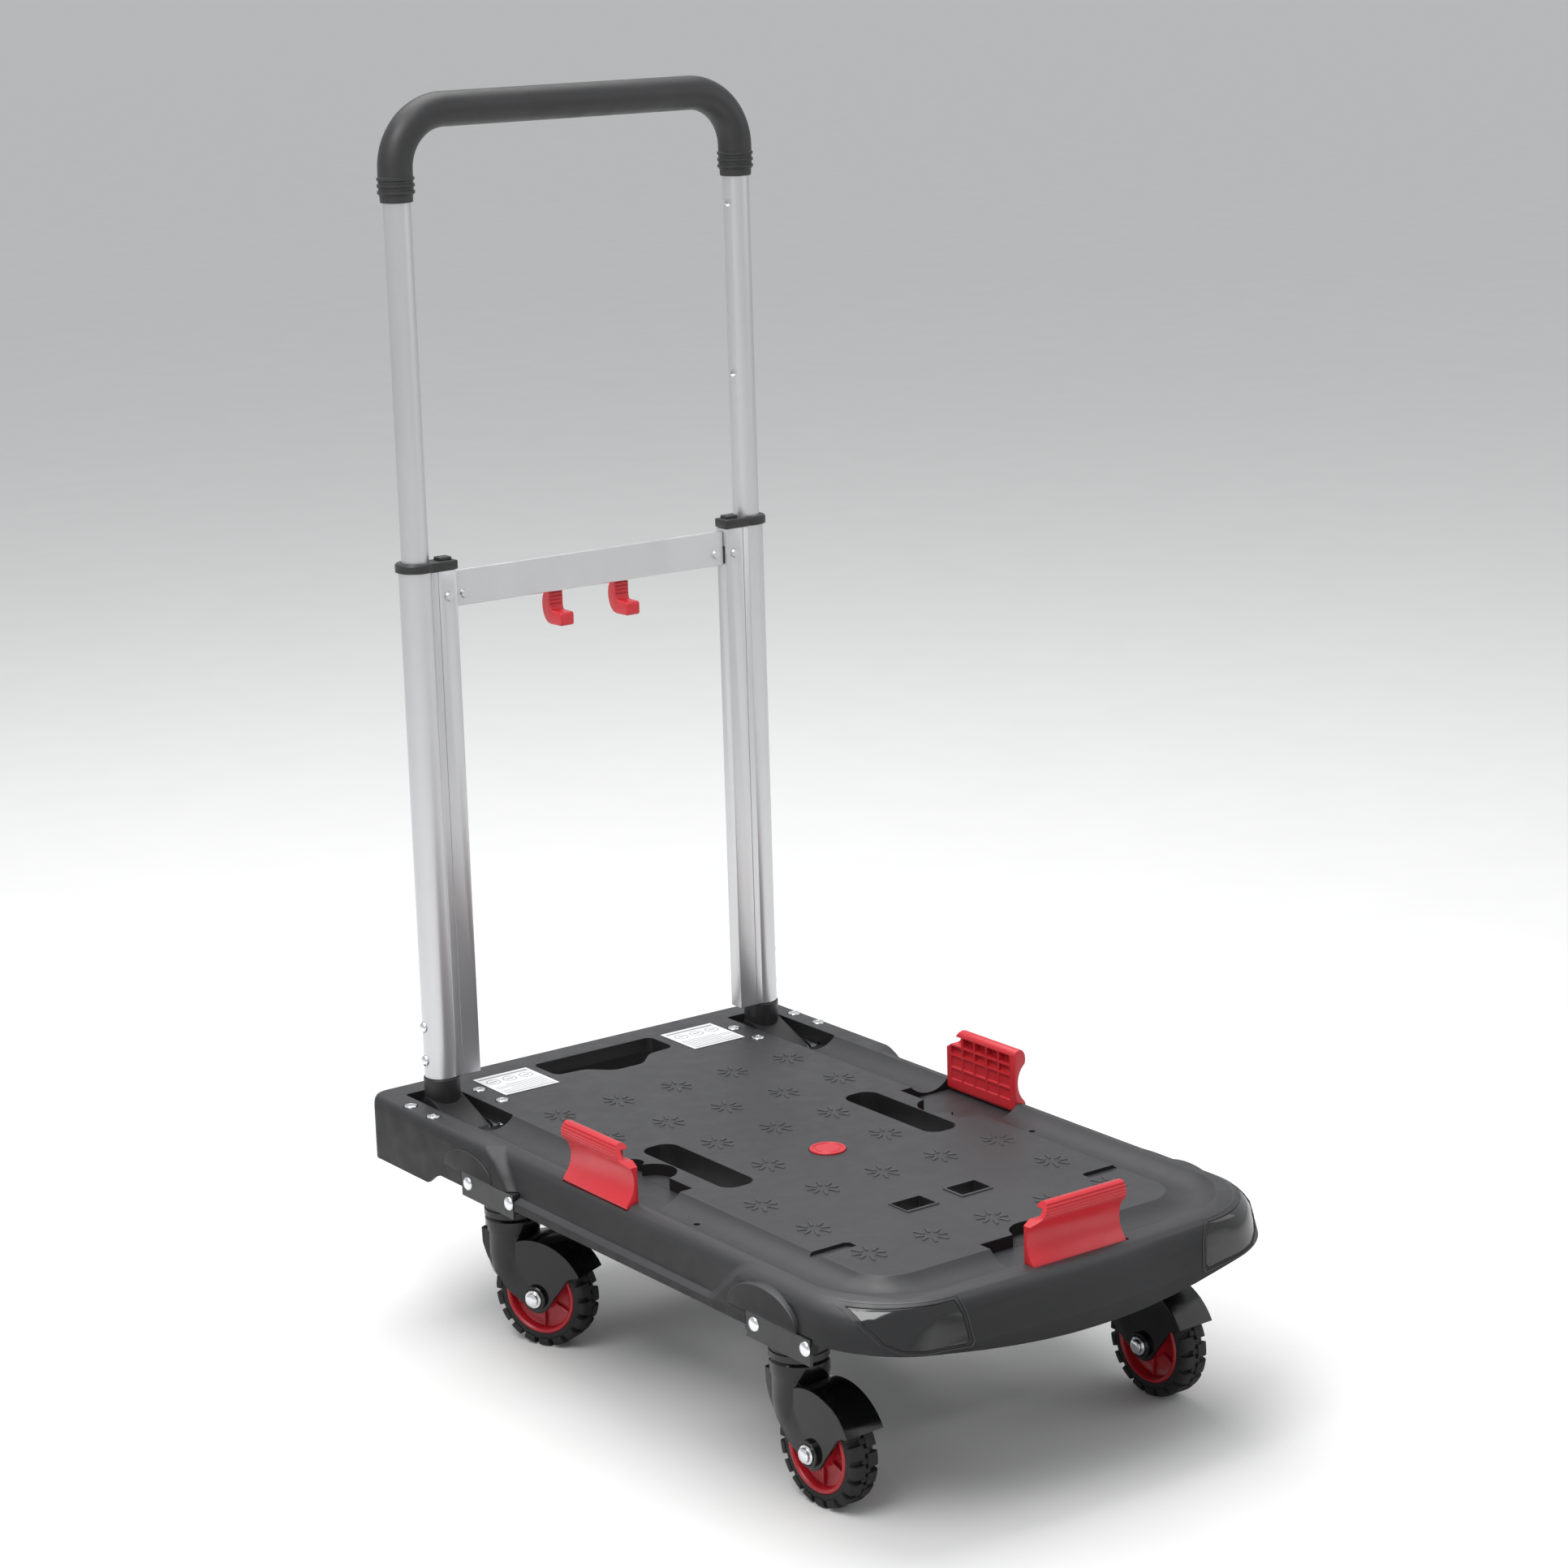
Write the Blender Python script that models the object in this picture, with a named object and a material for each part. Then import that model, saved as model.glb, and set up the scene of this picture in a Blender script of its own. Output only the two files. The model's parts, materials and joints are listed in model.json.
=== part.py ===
"""Folding platform cart: moulded deck, folding telescopic handle, three flip-up stops, four retracting casters.

Metres, +Z up, ground at Z = 0, the handle stands at the rear (+Y) and the deck's bowed end is the front (-Y).
"""

import math

import bmesh
import bpy
from mathutils import Matrix, Vector

# ---- driving dimensions ----
DECK_TOP = 0.1805
REAR = 0.345
SLAB = 0.012
SKIRT_BOTTOM = 0.054
GAP = 0.0003

TRACK = 0.1601
AXLE_ROWS = {"rear": 0.1481, "front": 0.5399}
ARCHES = {"rear": (0.1555, 0.0365, 0.0180), "front": (0.5565, 0.0425, 0.0222)}
YAWS = {"front_left": 0.05, "rear_left": 0.42, "front_right": 0.02, "rear_right": 0.16}
WHEEL_R = 0.0439
WHEEL_FACETS = 24
AXLE_Z = WHEEL_R * math.cos(math.pi / WHEEL_FACETS)
TYRE_HALF = 0.0118
RIM_R = 0.0325
TRAIL = 0.0308
SWIVEL_R = 0.0225
RACE_Z = (-0.0740, -0.0570)
FORK_CAP_Z = (-0.0850, -0.0745)
FOLD_U = 0.145
FOLD_Z = -0.050

TUBE_X = 0.1626
TUBE_Y = 0.0503
UPPER_R = 0.0110
LOWER_R = 0.0140
GRIP_R = 0.0140
HANDLE_TOP = 0.803
HANDLE_BEND = 0.045
CUFF_Z = 0.733
COLLAR_Z = (0.4410, 0.4485)
HOLE_PITCH = 0.1415
BAR_Z = (0.4095, 0.4390)
LOCK_Z = 0.4284
LOCK_LEAN = 0.26
PIVOT_Y = 0.09175
PIVOT_Z = -0.02575

CHANNEL_X = 0.1635
CHANNEL_FRONT = 0.6360
CHANNEL_R = 0.0267
CHANNEL_DEPTH = 0.008
STOP_AXIS = (0.1865, -0.0045)
STOP_FRONT = 0.6585
STOP_LENGTH = 0.088


def aft(distance):
    """World Y of a point that lies this far forward of the rear edge."""
    return REAR - distance


def up(height):
    """World Z of a height measured from the deck's top face."""
    return DECK_TOP + height


# ---- scene, collections and materials ----
for old in list(bpy.data.objects):
    bpy.data.objects.remove(old, do_unlink=True)

PARTS = bpy.data.collections.new("folding_platform_cart")
CUTTERS = bpy.data.collections.new("cutters")
for group in (PARTS, CUTTERS):
    bpy.context.scene.collection.children.link(group)
CUTTERS.hide_render = True


def material(name, colour, metallic, roughness):
    made = bpy.data.materials.new(name)
    made.use_nodes = True
    shader = made.node_tree.nodes["Principled BSDF"]
    shader.inputs["Base Color"].default_value = (*colour, 1)
    shader.inputs["Metallic"].default_value = metallic
    shader.inputs["Roughness"].default_value = roughness
    return made


CHARCOAL = ((0.045, 0.045, 0.047), 0.0, 0.6)
BLACK = ((0.012, 0.012, 0.013), 0.0, 0.45)
GLOSS = ((0.008, 0.008, 0.009), 0.0, 0.12)
RED = ((0.62, 0.03, 0.05), 0.0, 0.4)
ALLOY = ((0.72, 0.72, 0.73), 1.0, 0.35)
STEEL = ((0.55, 0.55, 0.56), 1.0, 0.3)
DARK_STEEL = ((0.02, 0.02, 0.022), 0.6, 0.4)
RUBBER = ((0.02, 0.02, 0.02), 0.0, 0.85)
PAPER = ((0.8, 0.8, 0.8), 0.0, 0.6)


# ---- modelling helpers ----
def finish(name, bm, look):
    bmesh.ops.remove_doubles(bm, verts=bm.verts, dist=1e-6)
    bmesh.ops.recalc_face_normals(bm, faces=bm.faces)
    mesh = bpy.data.meshes.new(name)
    bm.to_mesh(mesh)
    bm.free()
    obj = bpy.data.objects.new(name, mesh)
    if look is None:
        CUTTERS.objects.link(obj)
        obj.hide_render = True
        obj.display_type = "WIRE"
    else:
        PARTS.objects.link(obj)
        mesh.materials.append(material(name + "_finish", *look))
    return obj


def block(name, x, y, z, look=None, round_by=0.0, steps=1):
    bm = bmesh.new()
    centre = [(a + b) / 2 for a, b in (x, y, z)]
    size = [abs(b - a) for a, b in (x, y, z)]
    bmesh.ops.create_cube(bm, size=1)
    bmesh.ops.scale(bm, vec=size, verts=bm.verts)
    bmesh.ops.translate(bm, vec=centre, verts=bm.verts)
    if round_by:
        bmesh.ops.bevel(bm, geom=bm.edges[:], offset=round_by, segments=steps, affect="EDGES", profile=0.5)
    return finish(name, bm, look)


def turned(name, start, end, stations, look=None, steps=24, phase=0.0):
    """Lathe-turned solid between two points: stations are (distance along, radius)."""
    axis = (Vector(end) - Vector(start)).normalized()
    side = Matrix.Rotation(phase, 3, axis) @ axis.orthogonal().normalized()
    bm = bmesh.new()
    verts = [bm.verts.new(Vector(start) + axis * s + side * r) for s, r in stations]
    edges = [bm.edges.new(pair) for pair in zip(verts, verts[1:])]
    bmesh.ops.spin(
        bm, geom=verts + edges, cent=start, axis=axis, dvec=(0, 0, 0),
        angle=math.tau, steps=steps, use_merge=True,
    )
    bmesh.ops.remove_doubles(bm, verts=bm.verts, dist=1e-6)
    bmesh.ops.holes_fill(bm, edges=[e for e in bm.edges if e.is_boundary], sides=0)
    return finish(name, bm, look)


def rod(name, start, end, radius, look=None, steps=24):
    length = (Vector(end) - Vector(start)).length
    return turned(name, start, end, [(0, radius), (length, radius)], look, steps)


def plate(name, outline, axis, span, look=None, round_by=0.0):
    """A flat outline pushed along one axis: the outline holds the other two coordinates in X, Y, Z order."""
    bm = bmesh.new()
    order = [i for i in range(3) if i != axis]
    verts = []
    for point in outline:
        co = [0.0, 0.0, 0.0]
        co[order[0]], co[order[1]] = point
        co[axis] = span[0]
        verts.append(bm.verts.new(co))
    face = bm.faces.new(verts)
    made = bmesh.ops.extrude_face_region(bm, geom=[face])["geom"]
    push = [0.0, 0.0, 0.0]
    push[axis] = span[1] - span[0]
    bmesh.ops.translate(bm, vec=push, verts=[v for v in made if isinstance(v, bmesh.types.BMVert)])
    if round_by:
        rims = [e for e in bm.edges if abs(e.verts[0].co[axis] - e.verts[1].co[axis]) < 1e-9]
        bmesh.ops.bevel(bm, geom=rims, offset=round_by, segments=1, affect="EDGES", profile=0.5)
    return finish(name, bm, look)


def loft(name, levels, look=None):
    """Stacked outlines of equal length: each level is (height, [(x, y), ...])."""
    bm = bmesh.new()
    height, outline = levels[0]
    face = bm.faces.new([bm.verts.new((x, y, height)) for x, y in outline])
    for height, outline in levels[1:]:
        face = bmesh.ops.extrude_discrete_faces(bm, faces=[face])["faces"][0]
        for vert, (x, y) in zip(face.verts, outline):
            vert.co = (x, y, height)
    bmesh.ops.holes_fill(bm, edges=[e for e in bm.edges if e.is_boundary], sides=0)
    bmesh.ops.triangulate(bm, faces=[f for f in bm.faces if len(f.verts) == 4])
    return finish(name, bm, look)


def swept(name, path, radius, look=None, sides=16):
    """A round bar bent along a path."""
    curve = bpy.data.curves.new(name, "CURVE")
    curve.dimensions = "3D"
    curve.bevel_depth = radius
    curve.bevel_resolution = sides // 2 - 2
    curve.use_fill_caps = True
    spline = curve.splines.new("POLY")
    spline.points.add(len(path) - 1)
    for point, co in zip(spline.points, path):
        point.co = (*co, 1)
    holder = bpy.data.objects.new(name + "_path", curve)
    bm = bmesh.new()
    bm.from_mesh(bpy.data.meshes.new_from_object(holder))
    bpy.data.objects.remove(holder, do_unlink=True)
    return finish(name, bm, look)


def filleted(points, radii, steps, closed=True):
    """Rounds the corners of a polygon or a polyline of 2-D or 3-D points."""
    out = []
    count = len(points)
    for i, (point, radius) in enumerate(zip(points, radii)):
        here = Vector(point)
        if not radius or (not closed and i in (0, count - 1)):
            out.append(tuple(here))
            continue
        before = (Vector(points[i - 1]) - here).normalized()
        after = (Vector(points[(i + 1) % count]) - here).normalized()
        half = before.angle(after) / 2
        reach = radius / math.tan(half)
        centre = here + (before + after).normalized() * (radius / math.sin(half))
        first = here + before * reach - centre
        last = here + after * reach - centre
        sweep = first.angle(last)
        for k in range(steps + 1):
            t = k / steps
            a = math.sin((1 - t) * sweep) / math.sin(sweep)
            b = math.sin(t * sweep) / math.sin(sweep)
            out.append(tuple(centre + first * a + last * b))
    return out


def mix(obj, tools, operation):
    for tool in tools:
        if tool.name not in CUTTERS.objects:
            PARTS.objects.unlink(tool)
            CUTTERS.objects.link(tool)
            tool.hide_render = True
            tool.display_type = "WIRE"
        step = obj.modifiers.new(operation.lower(), "BOOLEAN")
        step.operation = operation
        step.solver = "EXACT"
        step.object = tool
    return obj


def cut(obj, *tools):
    return mix(obj, tools, "DIFFERENCE")


def fuse(obj, *tools):
    return mix(obj, tools, "UNION")


def joint(name, point, *riders):
    """An empty on a joint axis that carries the pieces which move about it."""
    axis = bpy.data.objects.new("axis_" + name, None)
    axis.location = point
    PARTS.objects.link(axis)
    for rider in riders:
        rider.parent = axis
        rider.matrix_parent_inverse = Matrix.Translation(point).inverted()
    return axis


def turn(obj, yaw, pivot):
    """Turns a finished mesh and its cutters' placement about a vertical line."""
    obj.data.transform(Matrix.Translation(pivot) @ Matrix.Rotation(yaw, 4, "Z"))


SIDES = (("left", -1), ("right", 1))


def across(m, inner, outer):
    """An X range given as distances from the centre line on one side."""
    return tuple(sorted((m * inner, m * outer)))


# ---- deck ----
def deck_outline(rear_w, mid_w, front_w, corner_y, centre_y, corner_r, back_y, waist=(0.165, 0.200, 0.505, 0.535)):
    half = [
        (rear_w, aft(back_y)), (rear_w, aft(waist[0])), (mid_w, aft(waist[1])), (mid_w, aft(waist[2])),
        (front_w, aft(waist[3])), (front_w, aft(corner_y)),
    ]
    radii = [0.012, 0, 0, 0, 0, corner_r]
    points = half + [(0, aft(centre_y))] + [(-x, y) for x, y in reversed(half)]
    return filleted(points, radii + [0.5] + radii[::-1], 6)


OUTER = [
    (0.0, 0.2020, 0.1885, 0.1900, 0.6660, 0.6750, 0.075, 0.0015, (0.172, 0.198, 0.512, 0.545)),
    (-0.0035, 0.2038, 0.1925, 0.1955, 0.6680, 0.6785, 0.073, 0.0005, (0.177, 0.204, 0.508, 0.538)),
    (-0.0100, 0.2045, 0.1955, 0.2005, 0.6690, 0.6815, 0.070, 0.0, (0.187, 0.213, 0.502, 0.527)),
    (-0.0325, 0.2045, 0.1985, 0.2035, 0.6700, 0.6890, 0.064, 0.0, (0.210, 0.228, 0.480, 0.503)),
    (-0.0345, 0.2045, 0.2035, 0.2045, 0.6700, 0.6897, 0.064, 0.0, (0.210, 0.228, 0.480, 0.503)),
    (-SKIRT_BOTTOM, 0.2045, 0.2045, 0.2045, 0.6705, 0.6923, 0.062, 0.0, (0.210, 0.228, 0.480, 0.503)),
]


def deck_levels(inset, first=0):
    levels = []
    for height, rear_w, mid_w, front_w, corner, centre, radius, back_y, waist in OUTER[first:]:
        levels.append((up(height), deck_outline(
            rear_w - inset, mid_w - inset, front_w - inset, corner - inset, centre - inset,
            radius - inset, back_y + inset, waist,
        )))
    return levels


deck = loft("deck_shell", deck_levels(0), CHARCOAL)
hollow = loft("deck_hollow", [
    (up(-SLAB), deck_outline(0.1995, 0.1932, 0.1965, 0.664, 0.674, 0.062, 0.005)),
    (up(-0.0345), deck_outline(0.2005, 0.1960, 0.1985, 0.665, 0.682, 0.060, 0.004)),
    (up(-0.070), deck_outline(0.2010, 0.2005, 0.2010, 0.666, 0.686, 0.060, 0.004)),
])
skirt_line = [
    (aft(0.0895), up(-0.0548)), (aft(0.1005), up(-0.0470)), (aft(0.112), up(-0.0425)),
    (aft(0.620), up(-0.0405)), (aft(0.642), up(-0.0430)), (aft(0.652), up(-0.0548)),
    (aft(0.652), up(-0.08)), (aft(0.0895), up(-0.08)),
]
skirt_trim = plate("skirt_trim", skirt_line, 0, (-0.3, 0.3))
channel_path = filleted(
    [(-CHANNEL_X, aft(0.118), 0), (-CHANNEL_X, aft(CHANNEL_FRONT), 0),
     (CHANNEL_X, aft(CHANNEL_FRONT), 0), (CHANNEL_X, aft(0.118), 0)],
    [0, 0.050, 0.050, 0], 6, closed=False,
)
channel_height = up(CHANNEL_R - CHANNEL_DEPTH)
channel = swept("handle_channel", [(x, y, channel_height) for x, y, _ in channel_path], CHANNEL_R, sides=28)
bumper_line = [
    (-0.2500, up(-0.0330)), (-0.1980, up(-0.0315)), (-0.1750, up(-0.0332)), (-0.1500, up(-0.0362)),
    (-0.1000, up(-0.0430)), (-0.0500, up(-0.0470)),
]
bumper_line += [(-x, z) for x, z in bumper_line[::-1]] + [(0.2500, up(-0.09)), (-0.2500, up(-0.09))]
bumper_trim = plate("bumper_trim", bumper_line, 1, (aft(0.72), aft(0.6155)))
cut(deck, hollow, skirt_trim, bumper_trim, channel)


def rounded_hole(name, x, y, radius, z=(-0.05, 0.05)):
    corners = [(x[0], y[0]), (x[1], y[0]), (x[1], y[1]), (x[0], y[1])]
    return plate(name, filleted(corners, [radius] * 4, 4), 2, (up(z[0]), up(z[1])))


hand_edge = filleted(
    [(-0.0600, aft(0.0270)), (0.0600, aft(0.0270)), (0.0600, aft(0.0640)), (0.0330, aft(0.0660)),
     (0.0140, aft(0.0850)), (-0.0140, aft(0.0850)), (-0.0330, aft(0.0660)), (-0.0600, aft(0.0640))],
    [0.006, 0.006, 0.008, 0.015, 0.015, 0.015, 0.015, 0.008], 3,
)
cut(deck, plate("hand_hole", hand_edge[::-1], 2, (up(-0.05), up(0.05))))

for side, m in SIDES:
    wall = rounded_hole(f"slot_wall_{side}", across(m, 0.0820, 0.1175), (aft(0.3915), aft(0.2655)), 0.014,
                        (-0.0300, -0.0060))
    fuse(deck, wall)
    x = across(m, 0.0845, 0.1150)
    cut(deck, rounded_hole(f"slot_{side}", x, (aft(0.3890), aft(0.2680)), 0.012))
    frame = block(f"latch_frame_{side}", across(m, 0.0105, 0.0415), (aft(0.5190), aft(0.4940)),
                  (up(-0.004), up(0.0010)), round_by=0.0004)
    fuse(deck, frame)
    cut(deck, block(f"latch_hole_{side}", across(m, 0.0127, 0.0403), (aft(0.5165), aft(0.4965)),
                    (up(-0.05), up(0.05))))
    cut(deck, block(f"hinge_pocket_{side}", across(m, 0.1435, 0.1835), (aft(0.1305), aft(0.0245)),
                    (up(-0.05), up(0.05))))
    cut(deck, block(f"bolt_recess_{side}", across(m, 0.1120, 0.1490), (aft(0.5480), aft(0.5230)),
                    (up(-0.0050), up(0.05))))
    cut(deck, rod(f"drain_{side}", (m * 0.1635, aft(0.4180), up(-0.03)), (m * 0.1635, aft(0.4180), up(0.01)),
                  0.0025, steps=12))
    for row, y in AXLE_ROWS.items():
        centre, reach, rise = ARCHES[row]
        arch = [(aft(centre) + reach * math.cos(a), up(-0.0285) + rise * math.sin(a))
                for a in (math.pi * k / 10 for k in range(11))]
        fuse(deck, plate(f"arch_pad_{row}_{side}", arch, 0, across(m, 0.1972, 0.2053)))
        cut(deck, block(f"flange_notch_{row}_{side}", across(m, 0.1860, 0.2200),
                        (aft(y + 0.0750), aft(y - 0.0035)), (up(-0.08), up(-0.0290))))

ribs = bmesh.new()
for column in range(6):
    for line in range(11):
        x = -0.1125 + 0.045 * column
        y = aft(0.155 + 0.043 * line)
        near_hole = abs(abs(x) - 0.10) < 0.035 and 0.25 < REAR - y < 0.41
        near_latch = abs(x) < 0.05 and 0.47 < REAR - y < 0.54
        near_disc = abs(x) < 0.03 and 0.34 < REAR - y < 0.39
        near_stop = abs(x) > 0.1 and 0.25 < REAR - y < 0.40
        near_recess = abs(x) > 0.1 and REAR - y > 0.50
        near_front_stop = abs(x) < 0.08 and REAR - y > 0.56
        if near_hole or near_latch or near_disc or near_stop or near_recess or near_front_stop:
            continue
        cell = bmesh.ops.create_cube(ribs, size=1)["verts"]
        bmesh.ops.scale(ribs, vec=(0.0425, 0.0405, 0.02), verts=cell)
        bmesh.ops.translate(ribs, vec=(x, y, up(-0.0135)), verts=cell)
cut(deck, finish("rib_cells", ribs, None))

# ---- glossy corner inserts in the front face ----
insert_core = loft("insert_core", [(z, o) for z, o in deck_levels(0.0022)])
for side, m in SIDES:
    face = [(0.1200, -0.0030), (0.1150, -0.0144), (0.1122, -0.0325), (0.1145, -0.0355), (0.1310, -0.0342),
            (0.1480, -0.0334), (0.1645, -0.0310), (0.1755, -0.0250), (0.1838, -0.0125), (0.1862, -0.0030)]
    inner_face = [(0.149 + 0.990 * (x - 0.149), -0.019 + 0.975 * (z + 0.019)) for x, z in face]
    region = plate(f"insert_region_{side}", [(m * x, up(z)) for x, z in inner_face], 1,
                   (aft(0.72), aft(0.622)))
    recess = plate(f"insert_recess_{side}", [(m * x, up(z)) for x, z in face], 1, (aft(0.72), aft(0.6215)))
    cut(recess, insert_core)
    insert = loft(f"corner_insert_{side}", deck_levels(0.0002), GLOSS)
    mix(insert, [region], "INTERSECT")
    cut(insert, loft(f"insert_inner_{side}", deck_levels(0.0019)))
    cut(deck, recess)

# ---- red disc and labels on the deck ----
disc_seat = (0, aft(0.3640))
cut(deck, rod("disc_seat", (*disc_seat, up(-0.0012)), (*disc_seat, up(0.01)), 0.0150, steps=24))
disc = turned("centre_disc", (*disc_seat, up(-0.0009)), (*disc_seat, up(0.01)),
              [(0, 0.0146), (0.0022, 0.0142), (0.0022, 0.0124), (0.0017, 0.0120),
               (0.0017, 0.0098), (0.0022, 0.0094)], RED, steps=20)
for side, m in SIDES:
    block(f"label_{side}", across(m, 0.0690, 0.1215), (aft(0.0825), aft(0.0305)), (up(GAP), up(0.0008)), PAPER)

# ---- hinge brackets, crank knuckles and pivot pins ----
for side, m in SIDES:
    pivot = (0, aft(PIVOT_Y), up(PIVOT_Z))
    bracket = block(f"hinge_bracket_{side}", across(m, 0.1440, 0.1464), (aft(0.1085), aft(0.030)),
                    (up(-0.0440), up(-SLAB - 0.0003)), STEEL)
    fuse(
        bracket,
        block(f"bracket_cheek_{side}", across(m, 0.1788, 0.1812), (aft(0.1085), aft(0.030)),
              (up(-0.0440), up(-SLAB - 0.0003))),
        block(f"bracket_floor_{side}", across(m, 0.1440, 0.1812), (aft(0.1085), aft(0.070)),
              (up(-0.0440), up(-0.0415))),
        block(f"bracket_inner_foot_{side}", across(m, 0.1220, 0.1450), (aft(0.104), aft(0.040)),
              (up(-0.0148), up(-SLAB - 0.0003))),
        block(f"bracket_outer_foot_{side}", across(m, 0.1800, 0.1975), (aft(0.104), aft(0.040)),
              (up(-0.0148), up(-SLAB - 0.0003))),
    )
    for k, (screw_x, screw_y) in enumerate(((0.1300, 0.0545), (0.1300, 0.0905), (0.1955, 0.0540), (0.1955, 0.0895))):
        top = (m * screw_x, aft(screw_y))
        cut(deck, turned(f"screw_seat_{side}_{k}", (*top, up(-0.03)), (*top, up(0.01)),
                         [(0, 0.0024), (0.0282, 0.0024), (0.0282, 0.0058), (0.04, 0.0058)], steps=10))
        fuse(bracket, turned(f"screw_{side}_{k}", (*top, up(-0.0140)), (*top, up(0.01)),
                             [(0, 0.0020), (0.0125, 0.0020), (0.0125, 0.0053), (0.0146, 0.0042)], steps=10))
    cut(bracket, rod(f"bracket_bore_{side}", (m * 0.13, *pivot[1:]), (m * 0.19, *pivot[1:]), 0.0043, steps=16))
    pin = turned(f"hinge_pin_{side}", (m * 0.1405, *pivot[1:]), (m * 0.2, *pivot[1:]),
                 [(0, 0.0060), (0.0030, 0.0060), (0.0030, 0.0040), (0.0412, 0.0040), (0.0412, 0.0060),
                  (0.0442, 0.0060)], STEEL, steps=12)

    post = (m * TUBE_X, aft(TUBE_Y))
    knuckle = turned(f"knuckle_{side}", (*post, up(-0.0180)), (*post, up(0.1)),
                     [(0, 0.0125), (0.0030, 0.0142), (0.0371, 0.0148), (0.0371, 0.0118), (0.0850, 0.0118)],
                     BLACK, steps=20)
    crank = bmesh.new()
    for centre_y, centre_z, radius in ((PIVOT_Y, PIVOT_Z, 0.0125), (TUBE_Y + 0.001, -0.0080, 0.0110)):
        for k in range(12):
            a = math.tau * k / 12
            for x in (0.1476, 0.1776):
                crank.verts.new((m * x, aft(centre_y) + radius * math.cos(a), up(centre_z) + radius * math.sin(a)))
    bmesh.ops.convex_hull(crank, input=crank.verts)
    fuse(knuckle, finish(f"crank_{side}", crank, None))
    cut(knuckle, rod(f"crank_bore_{side}", (m * 0.13, *pivot[1:]), (m * 0.19, *pivot[1:]), 0.0043, steps=16))

    # lower upright: round extrusion with a narrow box on its inboard front
    upright = rod(f"lower_upright_{side}", (*post, up(0.0194)), (*post, up(COLLAR_Z[0] - GAP)), LOWER_R, ALLOY, 24)
    box = block(f"upright_box_{side}", across(m, 0.1325, 0.1560), (aft(0.0631), aft(0.0490)),
                (up(0.0194), up(COLLAR_Z[0] - GAP)), round_by=0.0008)
    fuse(upright, box)
    for k, height in enumerate((0.0339, 0.0625)):
        fuse(upright, turned(f"upright_rivet_{side}_{k}", (m * 0.1750, aft(TUBE_Y - 0.002), up(height)),
                             (m * 0.2, aft(TUBE_Y - 0.002), up(height)),
                             [(0, 0.0042), (0.0018, 0.0042), (0.0032, 0.0026)], steps=10))
    cut(
        upright,
        rod(f"upright_bore_{side}", (*post, up(0.0)), (*post, up(0.5)), 0.0122, steps=24),
        block(f"upright_box_bore_{side}", across(m, 0.1341, 0.1500), (aft(0.0615), aft(0.0506)),
              (up(0.0), up(0.5))),
        block(f"tongue_slot_{side}", across(m, 0.1300, 0.1345), (aft(0.0605), aft(0.0545)),
              (up(0.4110), up(0.4255))),
        rod(f"bolt_hole_{side}", (m * 0.1405, aft(0.0700), up(0.4195)), (m * 0.1405, aft(0.0600), up(0.4195)),
            0.0024, steps=12),
    )

    collar = turned(f"collar_{side}", (*post, up(COLLAR_Z[0])), (*post, up(0.6)),
                    [(0, 0.0165), (0.0062, 0.0165), (0.0075, 0.0150)], BLACK, steps=24)
    fuse(collar, block(f"collar_block_{side}", across(m, 0.1318, 0.1560), (aft(0.0645), aft(0.0478)),
                       (up(COLLAR_Z[0]), up(COLLAR_Z[1])), round_by=0.0008))
    cut(
        collar,
        rod(f"collar_bore_{side}", (*post, up(0.42)), (*post, up(0.48)), 0.0113, steps=24),
        block(f"button_well_{side}", across(m, 0.1347, 0.1467), (aft(0.0617), aft(0.0507)),
              (up(0.4435), up(0.46))),
        rod(f"button_guide_{side}", (m * 0.1407, aft(0.0562), up(0.42)), (m * 0.1407, aft(0.0562), up(0.46)),
            0.0026, steps=12),
    )
    button = block(f"release_button_{side}", across(m, 0.1351, 0.1463), (aft(0.0613), aft(0.0511)),
                   (up(0.4472), up(0.4512)), BLACK, round_by=0.0006)
    fuse(button, rod(f"button_stem_{side}", (m * 0.1407, aft(0.0562), up(0.4380)),
                     (m * 0.1407, aft(0.0562), up(0.4490)), 0.0022, steps=12))
    joint(f"release_button_{side}", (m * 0.1407, aft(0.0562), up(0.4472)), button)
    seat = Vector((m * TUBE_X, aft(TUBE_Y), up(LOCK_Z)))
    reach = Vector((-m * math.cos(LOCK_LEAN), -math.sin(LOCK_LEAN), 0))
    cut(upright, rod(f"lock_guide_{side}", seat + reach * 0.0100, seat + reach * 0.0180, 0.0031, steps=10))
    lock = turned(f"lock_pin_{side}", seat + reach * 0.0114, seat + reach,
                  [(0, 0.0020), (0.0008, 0.0027), (0.0045, 0.0027), (0.0045, 0.0034), (0.0060, 0.0034)],
                  STEEL, steps=10)
    joint(f"lock_slide_{side}", seat + reach * 0.0114, lock)
    joint(f"handle_fold_{side}", (m * TUBE_X, *pivot[1:]), knuckle, upright, collar)

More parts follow.
